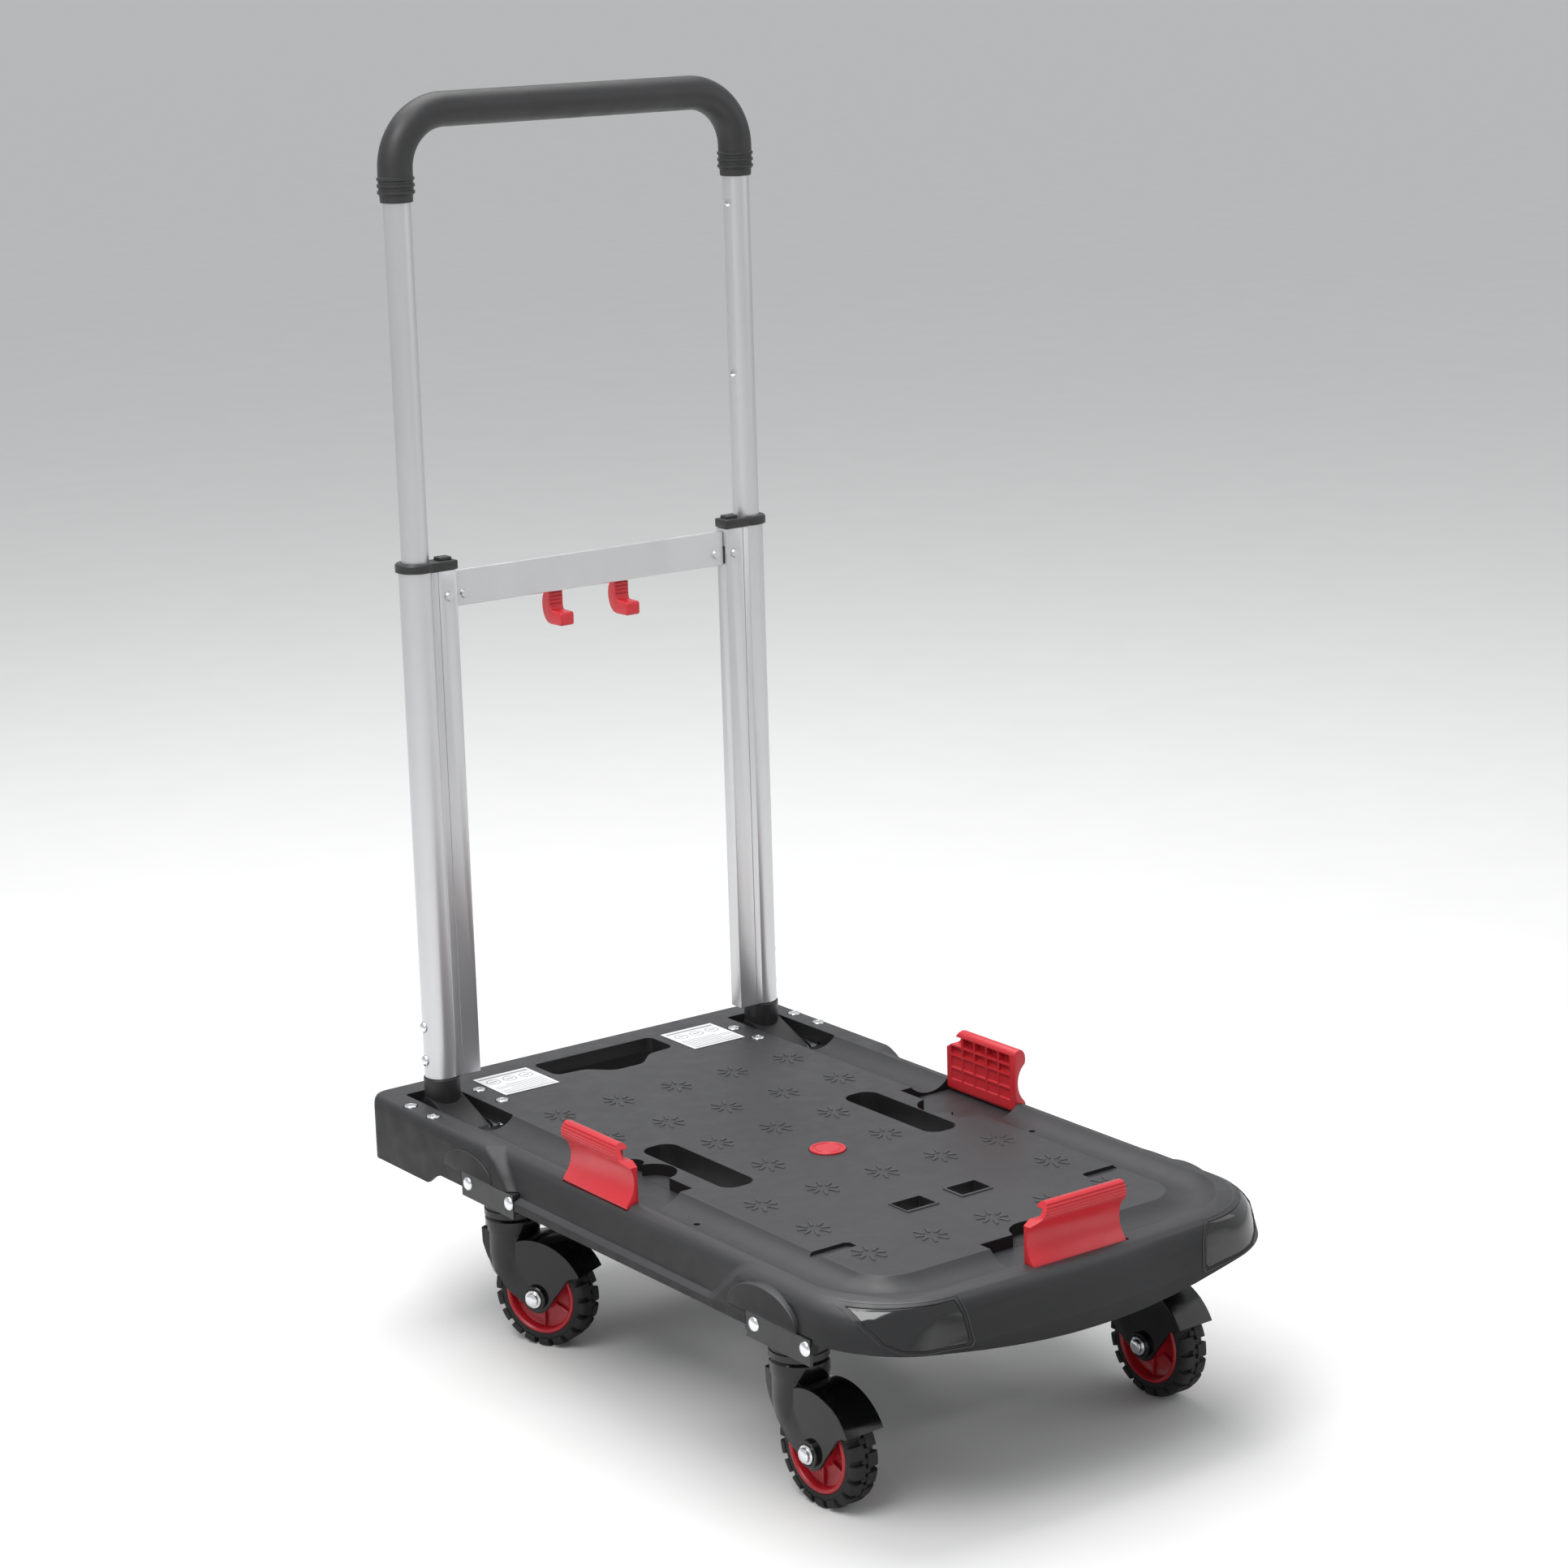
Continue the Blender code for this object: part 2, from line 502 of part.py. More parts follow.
# ---- crossbar with its tongues and bolts, and the two latch hooks ----
bar = block("crossbar", (-0.1320, 0.1320), (aft(0.0590), aft(0.0560)), (up(BAR_Z[0]), up(BAR_Z[1])), ALLOY,
            round_by=0.0006)
hooks = []
for side, m in SIDES:
    fuse(bar, block(f"bar_tongue_{side}", across(m, 0.1100, 0.1465), (aft(0.0572), aft(0.0550)),
                    (up(0.4120), up(0.4245))))
    for k, (bolt_x, bolt_y) in enumerate(((0.1405, 0.0634), (0.1240, 0.0588))):
        fuse(bar, turned(f"bar_bolt_{side}_{k}", (m * bolt_x, aft(0.0560), up(0.4195)),
                         (m * bolt_x, aft(0.1), up(0.4195)),
                         [(0, 0.0021), (bolt_y - 0.0560, 0.0021), (bolt_y - 0.0560, 0.0040),
                          (bolt_y - 0.0535, 0.0032)], steps=10))
    profile = [(0.0527, 0.4250), (0.0527, 0.3925), (0.0680, 0.3925), (0.0680, 0.3815), (0.0500, 0.3815),
               (0.0440, 0.3850), (0.0405, 0.3915), (0.0400, 0.3990), (0.0425, 0.4060), (0.0470, 0.4100),
               (0.0490, 0.4250)]
    hook = plate(f"hook_{side}", [(aft(y), up(z)) for y, z in profile], 0, across(m, 0.0260, 0.0390), RED,
                 round_by=0.0007)
    fuse(hook, block(f"hook_foot_{side}", across(m, 0.0270, 0.0380), (aft(0.0557), aft(0.0520)),
                     (up(0.4110), up(0.4245))))
    hooks.append(hook)
joint("handle_fold", (0, aft(PIVOT_Y), up(PIVOT_Z)), bar, *hooks)

# ---- telescoping U handle and its grip ----
foot = LOCK_Z - 0.020


def handle_path(lowest):
    corners = [(-TUBE_X, aft(TUBE_Y), up(lowest)), (-TUBE_X, aft(TUBE_Y), up(HANDLE_TOP)),
               (TUBE_X, aft(TUBE_Y), up(HANDLE_TOP)), (TUBE_X, aft(TUBE_Y), up(lowest))]
    return filleted(corners, [0, HANDLE_BEND, HANDLE_BEND, 0], 6, closed=False)


tube = swept("handle_tube", handle_path(foot), UPPER_R, ALLOY, sides=16)
cut(tube, swept("handle_bore", handle_path(foot - 0.01), UPPER_R - 0.0013, sides=12))
for side, m in SIDES:
    for k in range(3):
        centre = Vector((m * TUBE_X, aft(TUBE_Y), up(LOCK_Z + HOLE_PITCH * k)))
        reach = Vector((-m * math.cos(LOCK_LEAN), -math.sin(LOCK_LEAN), 0))
        cut(tube, rod(f"snap_hole_{side}_{k}", centre + reach * 0.004, centre + reach * 0.02, 0.0033, steps=8))
grip = swept("grip", handle_path(CUFF_Z), GRIP_R, BLACK, sides=16)
cuff_profile = [(0, 0.0130), (0.0012, 0.0149), (0.0122, 0.0149), (0.0134, 0.0130)]
for side, m in SIDES:
    ring = (m * TUBE_X, aft(TUBE_Y))
    fuse(grip, turned(f"cuff_rings_{side}", (*ring, up(CUFF_Z + 0.0070)), (*ring, up(1.0)), cuff_profile,
                      steps=16))
cut(grip, swept("grip_bore", handle_path(CUFF_Z - 0.01), UPPER_R + 0.0006, sides=16))
joint("handle_slide", (0, aft(TUBE_Y), up(COLLAR_Z[1])), tube, grip)


# ---- flip-up stops ----
def stop(name, pivot, inward, trim_end):
    """Builds a stop at the origin along +X with its concave face toward -Y, then turns it into place."""
    half = STOP_LENGTH / 2
    section = [(-0.0048 * math.cos(a), -0.0048 * math.sin(a)) for a in (math.pi * k / 6 for k in range(7))]
    section += [(0.0060, 0.0020), (0.0060, 0.0040), (0.0022, 0.0090), (-0.0005, 0.0150), (-0.0012, 0.0210),
                (-0.0002, 0.0270), (0.0020, 0.0320), (0.0058, 0.0365), (0.0068, 0.0400), (0.0064, 0.0440),
                (0.0046, 0.0475), (0.0012, 0.0490), (-0.0026, 0.0482), (-0.0048, 0.0455)]
    flap = plate(name, [(-u, z) for u, z in section], 0, (-half, half), RED)
    for k in range(5):
        x = -0.0375 + 0.0155 * k
        bay = [(0.008, 0.0060), (-0.0015, 0.0060), (0.0028, 0.0120), (0.0034, 0.0210), (0.0028, 0.0290),
               (-0.0030, 0.0360), (-0.0030, 0.0440), (0.008, 0.0440)]
        cut(flap, plate(f"{name}_bay_{k}", bay, 0, (x, x + 0.0130)))
    tip = [(trim_end * (half - 0.016), 0.0500), (trim_end * (half - 0.008), 0.0375),
           (trim_end * (half + 0.004), 0.0290), (trim_end * (half + 0.01), 0.0600),
           (trim_end * (half - 0.016), 0.0600)]
    cut(flap, plate(f"{name}_trim", tip, 1, (-0.02, 0.02)))
    for k in range(3):
        groove = -0.0066 + 0.0015 * k
        height = 0.0405 + 0.0028 * k
        cut(flap, block(f"{name}_groove_{k}", (-half - 0.01, half + 0.01), (groove - 0.0007, groove + 0.0007),
                        (height - 0.0006, height + 0.0006)))
    fuse(flap, rod(f"{name}_trunnion", (-half - 0.004, 0, 0), (half + 0.004, 0, 0), 0.0019, steps=12))
    socket = rod(f"{name}_socket", (-half - 0.0045, 0, 0), (half + 0.0045, 0, 0), 0.0022, steps=12)
    reach = 0.0535
    well = block(f"{name}_well", (-half - 0.0010, half + 0.0010), (-0.0053, reach), (-0.0055, 0.03))
    toe = block(f"{name}_toe_room", (-half - 0.0010, half + 0.0010), (-0.0085, 0.0), (-0.0003, 0.03))
    finger = rod(f"{name}_finger", (-trim_end * 0.006, reach - 0.003, -0.0053), (-trim_end * 0.006, reach - 0.003, 0.03),
                 0.0200, steps=24)
    small = rod(f"{name}_thumb", (-trim_end * 0.034, reach - 0.002, -0.0053),
                (-trim_end * 0.034, reach - 0.002, 0.03), 0.0090, steps=16)
    place = Matrix.Translation(pivot) @ Matrix.Rotation(inward, 4, "Z")
    pieces = [flap, socket, well, toe, finger, small] + [s.object for s in flap.modifiers]
    for piece in pieces:
        piece.data.transform(place)
    cut(deck, well, toe, finger, small, socket)
    joint(name, pivot, flap)


stop("stop_left", (-STOP_AXIS[0], aft(0.3240), up(STOP_AXIS[1])), -math.pi / 2, 1)
stop("stop_right", (STOP_AXIS[0], aft(0.3310), up(STOP_AXIS[1])), math.pi / 2, 1)
stop("stop_front", (0.0025, aft(STOP_FRONT), up(STOP_AXIS[1])), 0.0, -1)


# ---- casters: fixed side bracket, folding plate with race, swivelling fork, axle, hub and tyre ----
def cheek_outline():
    """Fork side seen along the axle: first coordinate is the trailing direction, second is height over the axle."""
    tip = math.radians(26)
    edge = [(0.0135 * math.cos(a), 0.0135 * math.sin(a)) for a in (math.radians(218 + 36 * k) for k in range(4))]
    edge += [(0.0245, 0.0090), (0.0395, 0.0165)]
    edge += [(0.0485 * math.cos(a), 0.0485 * math.sin(a)) for a in (tip + math.radians(18.4) * k for k in range(6))]
    edge += [(-0.0400, 0.0510), (-0.0515, 0.0516), (-0.0500, 0.0400), (-0.0420, 0.0200), (-0.0290, 0.0020)]
    return edge


for row, y_axis in AXLE_ROWS.items():
    for side, m in SIDES:
        tag = f"{row}_{side}"
        y = aft(y_axis)
        bracket = block(f"caster_bracket_{tag}", across(m, 0.1390, 0.1925), (y - 0.0742, y + 0.0365),
                        (up(-0.0150), up(-SLAB - 0.0003)), STEEL)
        fuse(
            bracket,
            block(f"bracket_leg_{tag}", across(m, 0.1900, 0.1925), (y - 0.0742, y + 0.0028),
                  (up(-0.0325), up(-0.0130))),
            block(f"bracket_shelf_{tag}", across(m, 0.1900, 0.2045), (y - 0.0742, y + 0.0028),
                  (up(-0.0325), up(-0.0295))),
            block(f"bracket_flange_{tag}", across(m, 0.2020, 0.2045), (y - 0.0742, y + 0.0028),
                  (up(-0.0495), up(-0.0300))),
        )
        for k, dy in enumerate((-0.0070, -0.0685)):
            fuse(bracket, turned(f"flange_rivet_{tag}_{k}", (m * 0.1990, y + dy, up(-0.0375)),
                                 (m * 0.3, y + dy, up(-0.0375)),
                                 [(0, 0.0040), (0.0056, 0.0040), (0.0056, 0.0052), (0.0076, 0.0036)],
                                 steps=8))
        for k, dy in enumerate((-0.0365, 0.0325)):
            fuse(bracket, block(f"bracket_lug_{tag}_{k}", across(m, 0.1395, 0.1505), (y + dy, y + dy + 0.0040),
                                (up(-0.0560), up(-0.0130))))
        pin_line = (m * FOLD_U, up(FOLD_Z))
        cut(bracket, rod(f"bracket_bore_{tag}", (pin_line[0], y - 0.05, pin_line[1]),
                         (pin_line[0], y + 0.05, pin_line[1]), 0.0032, steps=12))
        turned(f"caster_pin_{tag}", (pin_line[0], y - 0.0395, pin_line[1]), (pin_line[0], y + 0.1, pin_line[1]),
               [(0, 0.0045), (0.0025, 0.0045), (0.0025, 0.0029), (0.0770, 0.0029), (0.0770, 0.0045),
                (0.0795, 0.0045)], STEEL, steps=10)

        base = block(f"caster_base_{tag}", across(m, 0.1400, 0.1870), (y - 0.0300, y + 0.0300),
                     (up(-0.0570), up(-0.0540)), DARK_STEEL, round_by=0.0006)
        fuse(
            base,
            rod(f"base_barrel_{tag}", (pin_line[0], y - 0.0315, pin_line[1]),
                (pin_line[0], y + 0.0315, pin_line[1]), 0.0050, steps=12),
            turned(f"base_race_{tag}", (m * TRACK, y, up(RACE_Z[0])), (m * TRACK, y, up(0)),
                   [(0, 0.0215), (0.0015, SWIVEL_R), (0.0150, SWIVEL_R), (0.0180, 0.0205)], steps=18),
        )
        cut(base, rod(f"base_bore_{tag}", (pin_line[0], y - 0.04, pin_line[1]),
                      (pin_line[0], y + 0.04, pin_line[1]), 0.0032, steps=12))
        joint(f"caster_fold_{tag}", (pin_line[0], y, pin_line[1]), base)

        # the swivelling pieces are drawn about the swivel axis, trailing toward -Y, then turned
        yaw = YAWS[tag]
        axle = (-TRAIL, AXLE_Z)
        fork = plate(f"fork_{tag}", [(axle[0] - t, axle[1] + z) for t, z in cheek_outline()], 0,
                     (-0.0172, 0.0172), BLACK)
        cap = turned(f"fork_cap_{tag}", (0, 0, 0.0700), (0, 0, 1),
                     [(0, 0.0170), (0.0235, 0.0210), (0.0255, SWIVEL_R), (0.0345, SWIVEL_R),
                      (up(FORK_CAP_Z[1]) - 0.0700, 0.0210)], steps=18)
        bosses = [turned(f"fork_boss_{tag}_{k}", (n * 0.0165, *axle), (n * 1, *axle),
                         [(0, 0.0130), (0.0048, 0.0100)], steps=14)
                  for k, n in enumerate((-1, 1))]
        space = rod(f"wheel_space_{tag}", (-0.0142, *axle), (0.0142, *axle), 0.0458, steps=22)
        bore = rod(f"fork_bore_{tag}", (-0.03, *axle), (0.03, *axle), 0.0043, steps=12)
        bolt = turned(f"axle_{tag}", (-0.0252, *axle), (1, *axle),
                      [(0, 0.0055), (0.0036, 0.0062), (0.0036, 0.0039), (0.0472, 0.0039),
                       (0.0472, 0.0058), (0.0500, 0.0058)], STEEL, steps=10)
        hub = turned(f"hub_{tag}", (-0.0140, *axle), (1, *axle),
                     [(0, 0.0043), (0, 0.0095), (0.0110, 0.0120), (0.0100, 0.0250), (0.0025, 0.0280),
                      (0.0025, 0.0321), (0.0255, 0.0321), (0.0255, 0.0280), (0.0180, 0.0250),
                      (0.0170, 0.0120), (0.0280, 0.0095), (0.0280, 0.0043), (0, 0.0043)], RED, steps=20)
        tyre = turned(f"tyre_{tag}", (-TYRE_HALF, *axle), (1, *axle),
                      [(0, RIM_R), (0, 0.0385), (0.0022, 0.0422), (0.0062, WHEEL_R),
                       (2 * TYRE_HALF - 0.0062, WHEEL_R), (2 * TYRE_HALF - 0.0022, 0.0422),
                       (2 * TYRE_HALF, 0.0385), (2 * TYRE_HALF, RIM_R), (0, RIM_R)], RUBBER,
                      steps=WHEEL_FACETS, phase=math.pi / WHEEL_FACETS)
        for piece in (fork, cap, space, bore, bolt, hub, tyre, *bosses):
            turn(piece, yaw, (m * TRACK, y, 0))
        fuse(fork, cap, *bosses)
        cut(fork, space, bore)
        joint(f"swivel_{tag}", (m * TRACK, y, up(FORK_CAP_Z[1])), fork, bolt)
        centre = Matrix.Rotation(yaw, 3, "Z") @ Vector((0, axle[0], 0)) + Vector((m * TRACK, y, AXLE_Z))
        joint(f"wheel_{tag}", centre, hub, tyre)

# ---- push rods under the slab ----
for side, m in SIDES:
    rail = block(f"push_rod_{side}", across(m, 0.1190, 0.1330), (aft(0.5750), aft(0.1080)),
                 (up(-0.0152), up(-SLAB - 0.0005)), STEEL)
    joint(f"push_rod_{side}", (m * 0.1260, aft(0.1080), up(-0.0140)), rail)
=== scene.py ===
"""Looks for the folding platform cart: detailed pieces and procedural materials round the CAD frame."""

import json
import math

import bmesh
import bpy
from mathutils import Matrix, Vector


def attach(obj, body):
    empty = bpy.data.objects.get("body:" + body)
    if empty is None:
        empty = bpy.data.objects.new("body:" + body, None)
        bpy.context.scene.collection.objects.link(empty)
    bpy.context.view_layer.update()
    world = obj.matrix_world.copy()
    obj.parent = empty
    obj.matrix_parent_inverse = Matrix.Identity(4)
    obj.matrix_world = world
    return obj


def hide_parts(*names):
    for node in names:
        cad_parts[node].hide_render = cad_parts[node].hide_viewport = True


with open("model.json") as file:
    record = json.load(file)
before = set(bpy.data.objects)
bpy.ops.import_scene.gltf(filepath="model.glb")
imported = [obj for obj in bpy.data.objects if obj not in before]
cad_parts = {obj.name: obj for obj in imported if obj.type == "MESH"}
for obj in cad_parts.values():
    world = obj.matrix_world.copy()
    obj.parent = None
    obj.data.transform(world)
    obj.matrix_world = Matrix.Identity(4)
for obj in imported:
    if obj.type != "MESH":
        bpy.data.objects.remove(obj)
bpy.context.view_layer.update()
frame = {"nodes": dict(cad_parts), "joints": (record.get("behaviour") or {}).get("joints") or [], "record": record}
NODES = frame["nodes"]
JOINTS = {joint["name"]: joint for joint in frame["joints"]}

# The deck's top plane and rear edge, in metres. up() and aft() measure from them.
DECK_TOP = 0.1805
REAR = 0.345
SIDES = (("left", -1), ("right", 1))
TAGS = ("front_left", "front_right", "rear_left", "rear_right")


def aft(distance):
    return REAR - distance


def up(height):
    return DECK_TOP + height


# ---- materials
def ramp(tree, source, low, high, start=0.3, stop=0.7):
    node = tree.nodes.new("ShaderNodeMapRange")
    node.inputs["From Min"].default_value = start
    node.inputs["From Max"].default_value = stop
    node.inputs["To Min"].default_value = low
    node.inputs["To Max"].default_value = high
    tree.links.new(source, node.inputs["Value"])
    return node.outputs["Result"]


def noise_node(tree, coordinates, scale, detail=3.0, stretch=(1, 1, 1)):
    mapping = tree.nodes.new("ShaderNodeMapping")
    mapping.inputs["Scale"].default_value = stretch
    tree.links.new(coordinates, mapping.inputs["Vector"])
    node = tree.nodes.new("ShaderNodeTexNoise")
    node.inputs["Scale"].default_value = scale
    node.inputs["Detail"].default_value = detail
    tree.links.new(mapping.outputs["Vector"], node.inputs["Vector"])
    return node.outputs["Fac"]


def surface(
    name, colour, roughness, metallic=0.0, grain=900.0, grain_depth=0.00006, mottle=0.12,
    rough_spread=0.08, stretch=(1, 1, 1), coat=0.0, specular=0.5, edge=0.0, upright=1.0,
):
    """A moulded, painted or metal finish: mottled colour, uneven roughness, fine grain and softened edges.

    An upright factor under 1 paints shade on the faces that stand, darkening their colour and sheen.
    """
    made = bpy.data.materials.new(name)
    made.use_nodes = True
    tree = made.node_tree
    shader = tree.nodes["Principled BSDF"]
    shader.inputs["Metallic"].default_value = metallic
    shader.inputs["Specular IOR Level"].default_value = specular
    shader.inputs["Coat Weight"].default_value = coat
    shader.inputs["Coat Roughness"].default_value = 0.08
    place = tree.nodes.new("ShaderNodeTexCoord").outputs["Object"]
    broad = noise_node(tree, place, 9.0, 4.0)
    fine = noise_node(tree, place, grain, 2.0, stretch)
    mix = tree.nodes.new("ShaderNodeMix")
    mix.data_type = "RGBA"
    dark = [c * (1 - mottle) for c in colour]
    light = [min(1.0, c * (1 + mottle)) for c in colour]
    mix.inputs["A"].default_value = (*dark, 1)
    mix.inputs["B"].default_value = (*light, 1)
    tree.links.new(ramp(tree, broad, 0.0, 1.0), mix.inputs["Factor"])
    tree.links.new(mix.outputs["Result"], shader.inputs["Base Color"])
    # Painted shade: the faces that stand get a darker colour and less sheen, set by the height of their normal.
    if upright < 1.0:
        facing = tree.nodes.new("ShaderNodeSeparateXYZ")
        tree.links.new(tree.nodes.new("ShaderNodeNewGeometry").outputs["Normal"], facing.inputs["Vector"])
        shade = tree.nodes.new("ShaderNodeMix")
        shade.data_type = "RGBA"
        shade.blend_type = "MULTIPLY"
        shade.inputs["Factor"].default_value = 1.0
        tree.links.new(mix.outputs["Result"], shade.inputs["A"])
        tree.links.new(ramp(tree, facing.outputs["Z"], upright, 1.0, 0.05, 0.7), shade.inputs["B"])
        tree.links.new(shade.outputs["Result"], shader.inputs["Base Color"])
        painted_shade_sheen = ramp(tree, facing.outputs["Z"], specular * upright, specular, 0.05, 0.7)
        tree.links.new(painted_shade_sheen, shader.inputs["Specular IOR Level"])
    wear = noise_node(tree, place, 55.0, 5.0, stretch)
    rough = ramp(tree, wear, roughness - rough_spread, roughness + rough_spread)
    tree.links.new(rough, shader.inputs["Roughness"])
    bump = tree.nodes.new("ShaderNodeBump")
    bump.inputs["Strength"].default_value = 1.0
    bump.inputs["Distance"].default_value = grain_depth
    tree.links.new(fine, bump.inputs["Height"])
    if edge:
        bevel = tree.nodes.new("ShaderNodeBevel")
        bevel.samples = 4
        bevel.inputs["Radius"].default_value = edge
        tree.links.new(bevel.outputs["Normal"], bump.inputs["Normal"])
    tree.links.new(bump.outputs["Normal"], shader.inputs["Normal"])
    return made


MAT = {
    # The deck's upright factor paints shade on its standing faces.
    "deck": surface("deck_finish", (0.034, 0.034, 0.036), 0.46, grain=1500, grain_depth=0.00005, edge=0.0009,
                    upright=0.42),
    "marks": surface("mark_finish", (0.040, 0.040, 0.042), 0.40, grain=1500, grain_depth=0.00003),
    "black": surface("black_finish", (0.020, 0.020, 0.021), 0.42, grain=1500, grain_depth=0.00003,
                     edge=0.0006),
    "grip": surface("grip_finish", (0.022, 0.022, 0.023), 0.48, grain=1100, grain_depth=0.00006),
    "gloss": surface("insert_finish", (0.004, 0.004, 0.0045), 0.12, grain=300, grain_depth=0.00001,
                     rough_spread=0.03, coat=0.6, edge=0.0005),
    "red": surface("red_finish", (0.56, 0.022, 0.032), 0.36, grain=1300, grain_depth=0.00004, mottle=0.05,
                   edge=0.0006),
    "hub": surface("hub_finish", (0.38, 0.010, 0.018), 0.33, grain=1300, grain_depth=0.00003, mottle=0.06),
    "alloy": surface("alloy_finish", (0.66, 0.66, 0.67), 0.36, metallic=0.85, grain=700, grain_depth=0.00001,
                     mottle=0.03, stretch=(1, 1, 0.02), edge=0.0005),
    "zinc": surface("zinc_finish", (0.80, 0.81, 0.83), 0.22, metallic=1.0, grain=500, grain_depth=0.00003,
                    mottle=0.08, edge=0.0003),
    "steel": surface("dark_steel_finish", (0.025, 0.025, 0.027), 0.34, metallic=0.3, grain=900,
                     grain_depth=0.00004, edge=0.0005),
    "fork": surface("fork_finish", (0.005, 0.005, 0.0055), 0.17, grain=420, grain_depth=0.00002,
                    rough_spread=0.05, coat=0.12, specular=0.38),
    "tyre": surface("tyre_finish", (0.016, 0.016, 0.016), 0.72, grain=1000, grain_depth=0.00012, mottle=0.25,
                    specular=0.35, edge=0.0004),
    "label": surface("label_finish", (0.78, 0.78, 0.79), 0.35, grain=300, grain_depth=0.00001, mottle=0.02),
    "ink": surface("ink_finish", (0.30, 0.30, 0.31), 0.45, grain=600, grain_depth=0.00001, mottle=0.08),
}


# ---- mesh helpers
def piece(name, bm, look, body, smooth=40.0):
    """Turns a bmesh into a shown piece that rides on a CAD body."""
    bmesh.ops.remove_doubles(bm, verts=bm.verts, dist=1e-6)
    bmesh.ops.recalc_face_normals(bm, faces=bm.faces)
    mesh = bpy.data.meshes.new(name)
    bm.to_mesh(mesh)
    bm.free()
    mesh.shade_smooth()
    mesh.set_sharp_from_angle(angle=math.radians(smooth))
    mesh.materials.append(MAT[look])
    obj = bpy.data.objects.new(name, mesh)
    bpy.context.scene.collection.objects.link(obj)
    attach(obj, body)
    return obj


def lathe(bm, stations, matrix, steps=48, closed=False, sweep=math.tau, start=0.0):
    """Spins (distance, radius) stations about local X and places them, with open ends capped."""
    points = [Vector((s, r * math.cos(start), r * math.sin(start))) for s, r in stations]
    verts = [bm.verts.new(p) for p in points]
    edges = [bm.edges.new(pair) for pair in zip(verts, verts[1:])]
    if closed:
        edges.append(bm.edges.new((verts[-1], verts[0])))
    full = sweep > 6.28
    out = bmesh.ops.spin(bm, geom=verts + edges, cent=(0, 0, 0), axis=(1, 0, 0), dvec=(0, 0, 0), angle=sweep,
                         steps=steps, use_merge=full)
    made = set(verts)
    last_faces = {f for f in out["geom_last"] if isinstance(f, bmesh.types.BMFace)}
    for face in {f for v in verts for f in v.link_faces} | last_faces:
        made.update(face.verts)
    frontier = list(made)
    while frontier:
        fresh = {w for v in frontier for e in v.link_edges for w in e.verts} - made
        made |= fresh
        frontier = list(fresh)
    bmesh.ops.remove_doubles(bm, verts=list(made), dist=1e-7)
    made = [v for v in made if v.is_valid]
    ends = [e for e in {e for v in made for e in v.link_edges} if e.is_boundary]
    if ends:
        bmesh.ops.holes_fill(bm, edges=ends, sides=0)
    bmesh.ops.transform(bm, matrix=matrix, verts=made)
    return made


def prism(bm, outline, x_range, matrix, bevel=0.0, segments=3):
    """Extrudes a (y, z) outline along local X, rounds its rims, then places it."""
    base = [bm.verts.new((x_range[0], y, z)) for y, z in outline]
    face = bm.faces.new(base)
    top = bmesh.ops.extrude_face_region(bm, geom=[face])["geom"]
    moved = [v for v in top if isinstance(v, bmesh.types.BMVert)]
    bmesh.ops.translate(bm, vec=(x_range[1] - x_range[0], 0, 0), verts=moved)
    verts = base + moved
    if bevel:
        rims = [e for e in {e for v in verts for e in v.link_edges}
                if abs(e.verts[0].co.x - e.verts[1].co.x) < 1e-9]
        out = bmesh.ops.bevel(bm, geom=rims, offset=bevel, segments=segments, affect="EDGES", profile=0.5,
                              clamp_overlap=True)
        verts = list({v for f in out["faces"] for v in f.verts} | {v for v in verts if v.is_valid})
    bmesh.ops.transform(bm, matrix=matrix, verts=verts)
    return verts


def box(bm, x, y, z, bevel=0.0, segments=2, matrix=None):
    verts = bmesh.ops.create_cube(bm, size=1)["verts"]
    bmesh.ops.scale(bm, vec=(abs(x[1] - x[0]), abs(y[1] - y[0]), abs(z[1] - z[0])), verts=verts)
    bmesh.ops.translate(bm, vec=(sum(x) / 2, sum(y) / 2, sum(z) / 2), verts=verts)
    if bevel:
        edges = list({e for v in verts for e in v.link_edges})
        out = bmesh.ops.bevel(bm, geom=edges, offset=bevel, segments=segments, affect="EDGES", profile=0.5)
        verts = list({v for f in out["faces"] for v in f.verts} | {v for v in verts if v.is_valid})
    if matrix is not None:
        bmesh.ops.transform(bm, matrix=matrix, verts=verts)
    return verts


def tube(bm, path, radius, sides=32):
    """Sweeps a ring along a planar path that lies in a plane of constant Y."""
    rings = []
    for i, point in enumerate(path):
        here = Vector(point)
        before = Vector(path[max(i - 1, 0)])
        after = Vector(path[min(i + 1, len(path) - 1)])
        tangent = (after - before).normalized()
        across = tangent.cross(Vector((0, 1, 0))).normalized()
        ring = []
        for k in range(sides):
            a = math.tau * k / sides
            outward = across * math.cos(a) + Vector((0, 1, 0)) * math.sin(a)
            ring.append(bm.verts.new(here + outward * radius))
        rings.append(ring)
    for ring, following in zip(rings, rings[1:]):
        for k in range(sides):
            n = (k + 1) % sides
            bm.faces.new((ring[k], ring[n], following[n], following[k]))
    return rings


def bend(points, radii, steps=8, closed=True):
    """Rounds the corners of a polygon or polyline."""
    out = []
    count = len(points)
    for i, (point, radius) in enumerate(zip(points, radii)):
        here = Vector(point)
        if not radius or (not closed and i in (0, count - 1)):
            out.append(tuple(here))
            continue
        before = (Vector(points[i - 1]) - here).normalized()
        after = (Vector(points[(i + 1) % count]) - here).normalized()
        half = before.angle(after) / 2
        centre = here + (before + after).normalized() * (radius / math.sin(half))
        first = here + before * (radius / math.tan(half)) - centre
        last = here + after * (radius / math.tan(half)) - centre
        sweep = first.angle(last)
        for k in range(steps + 1):
            a = math.sin((1 - k / steps) * sweep) / math.sin(sweep)
            b = math.sin(k / steps * sweep) / math.sin(sweep)
            out.append(tuple(centre + first * a + last * b))
    return out


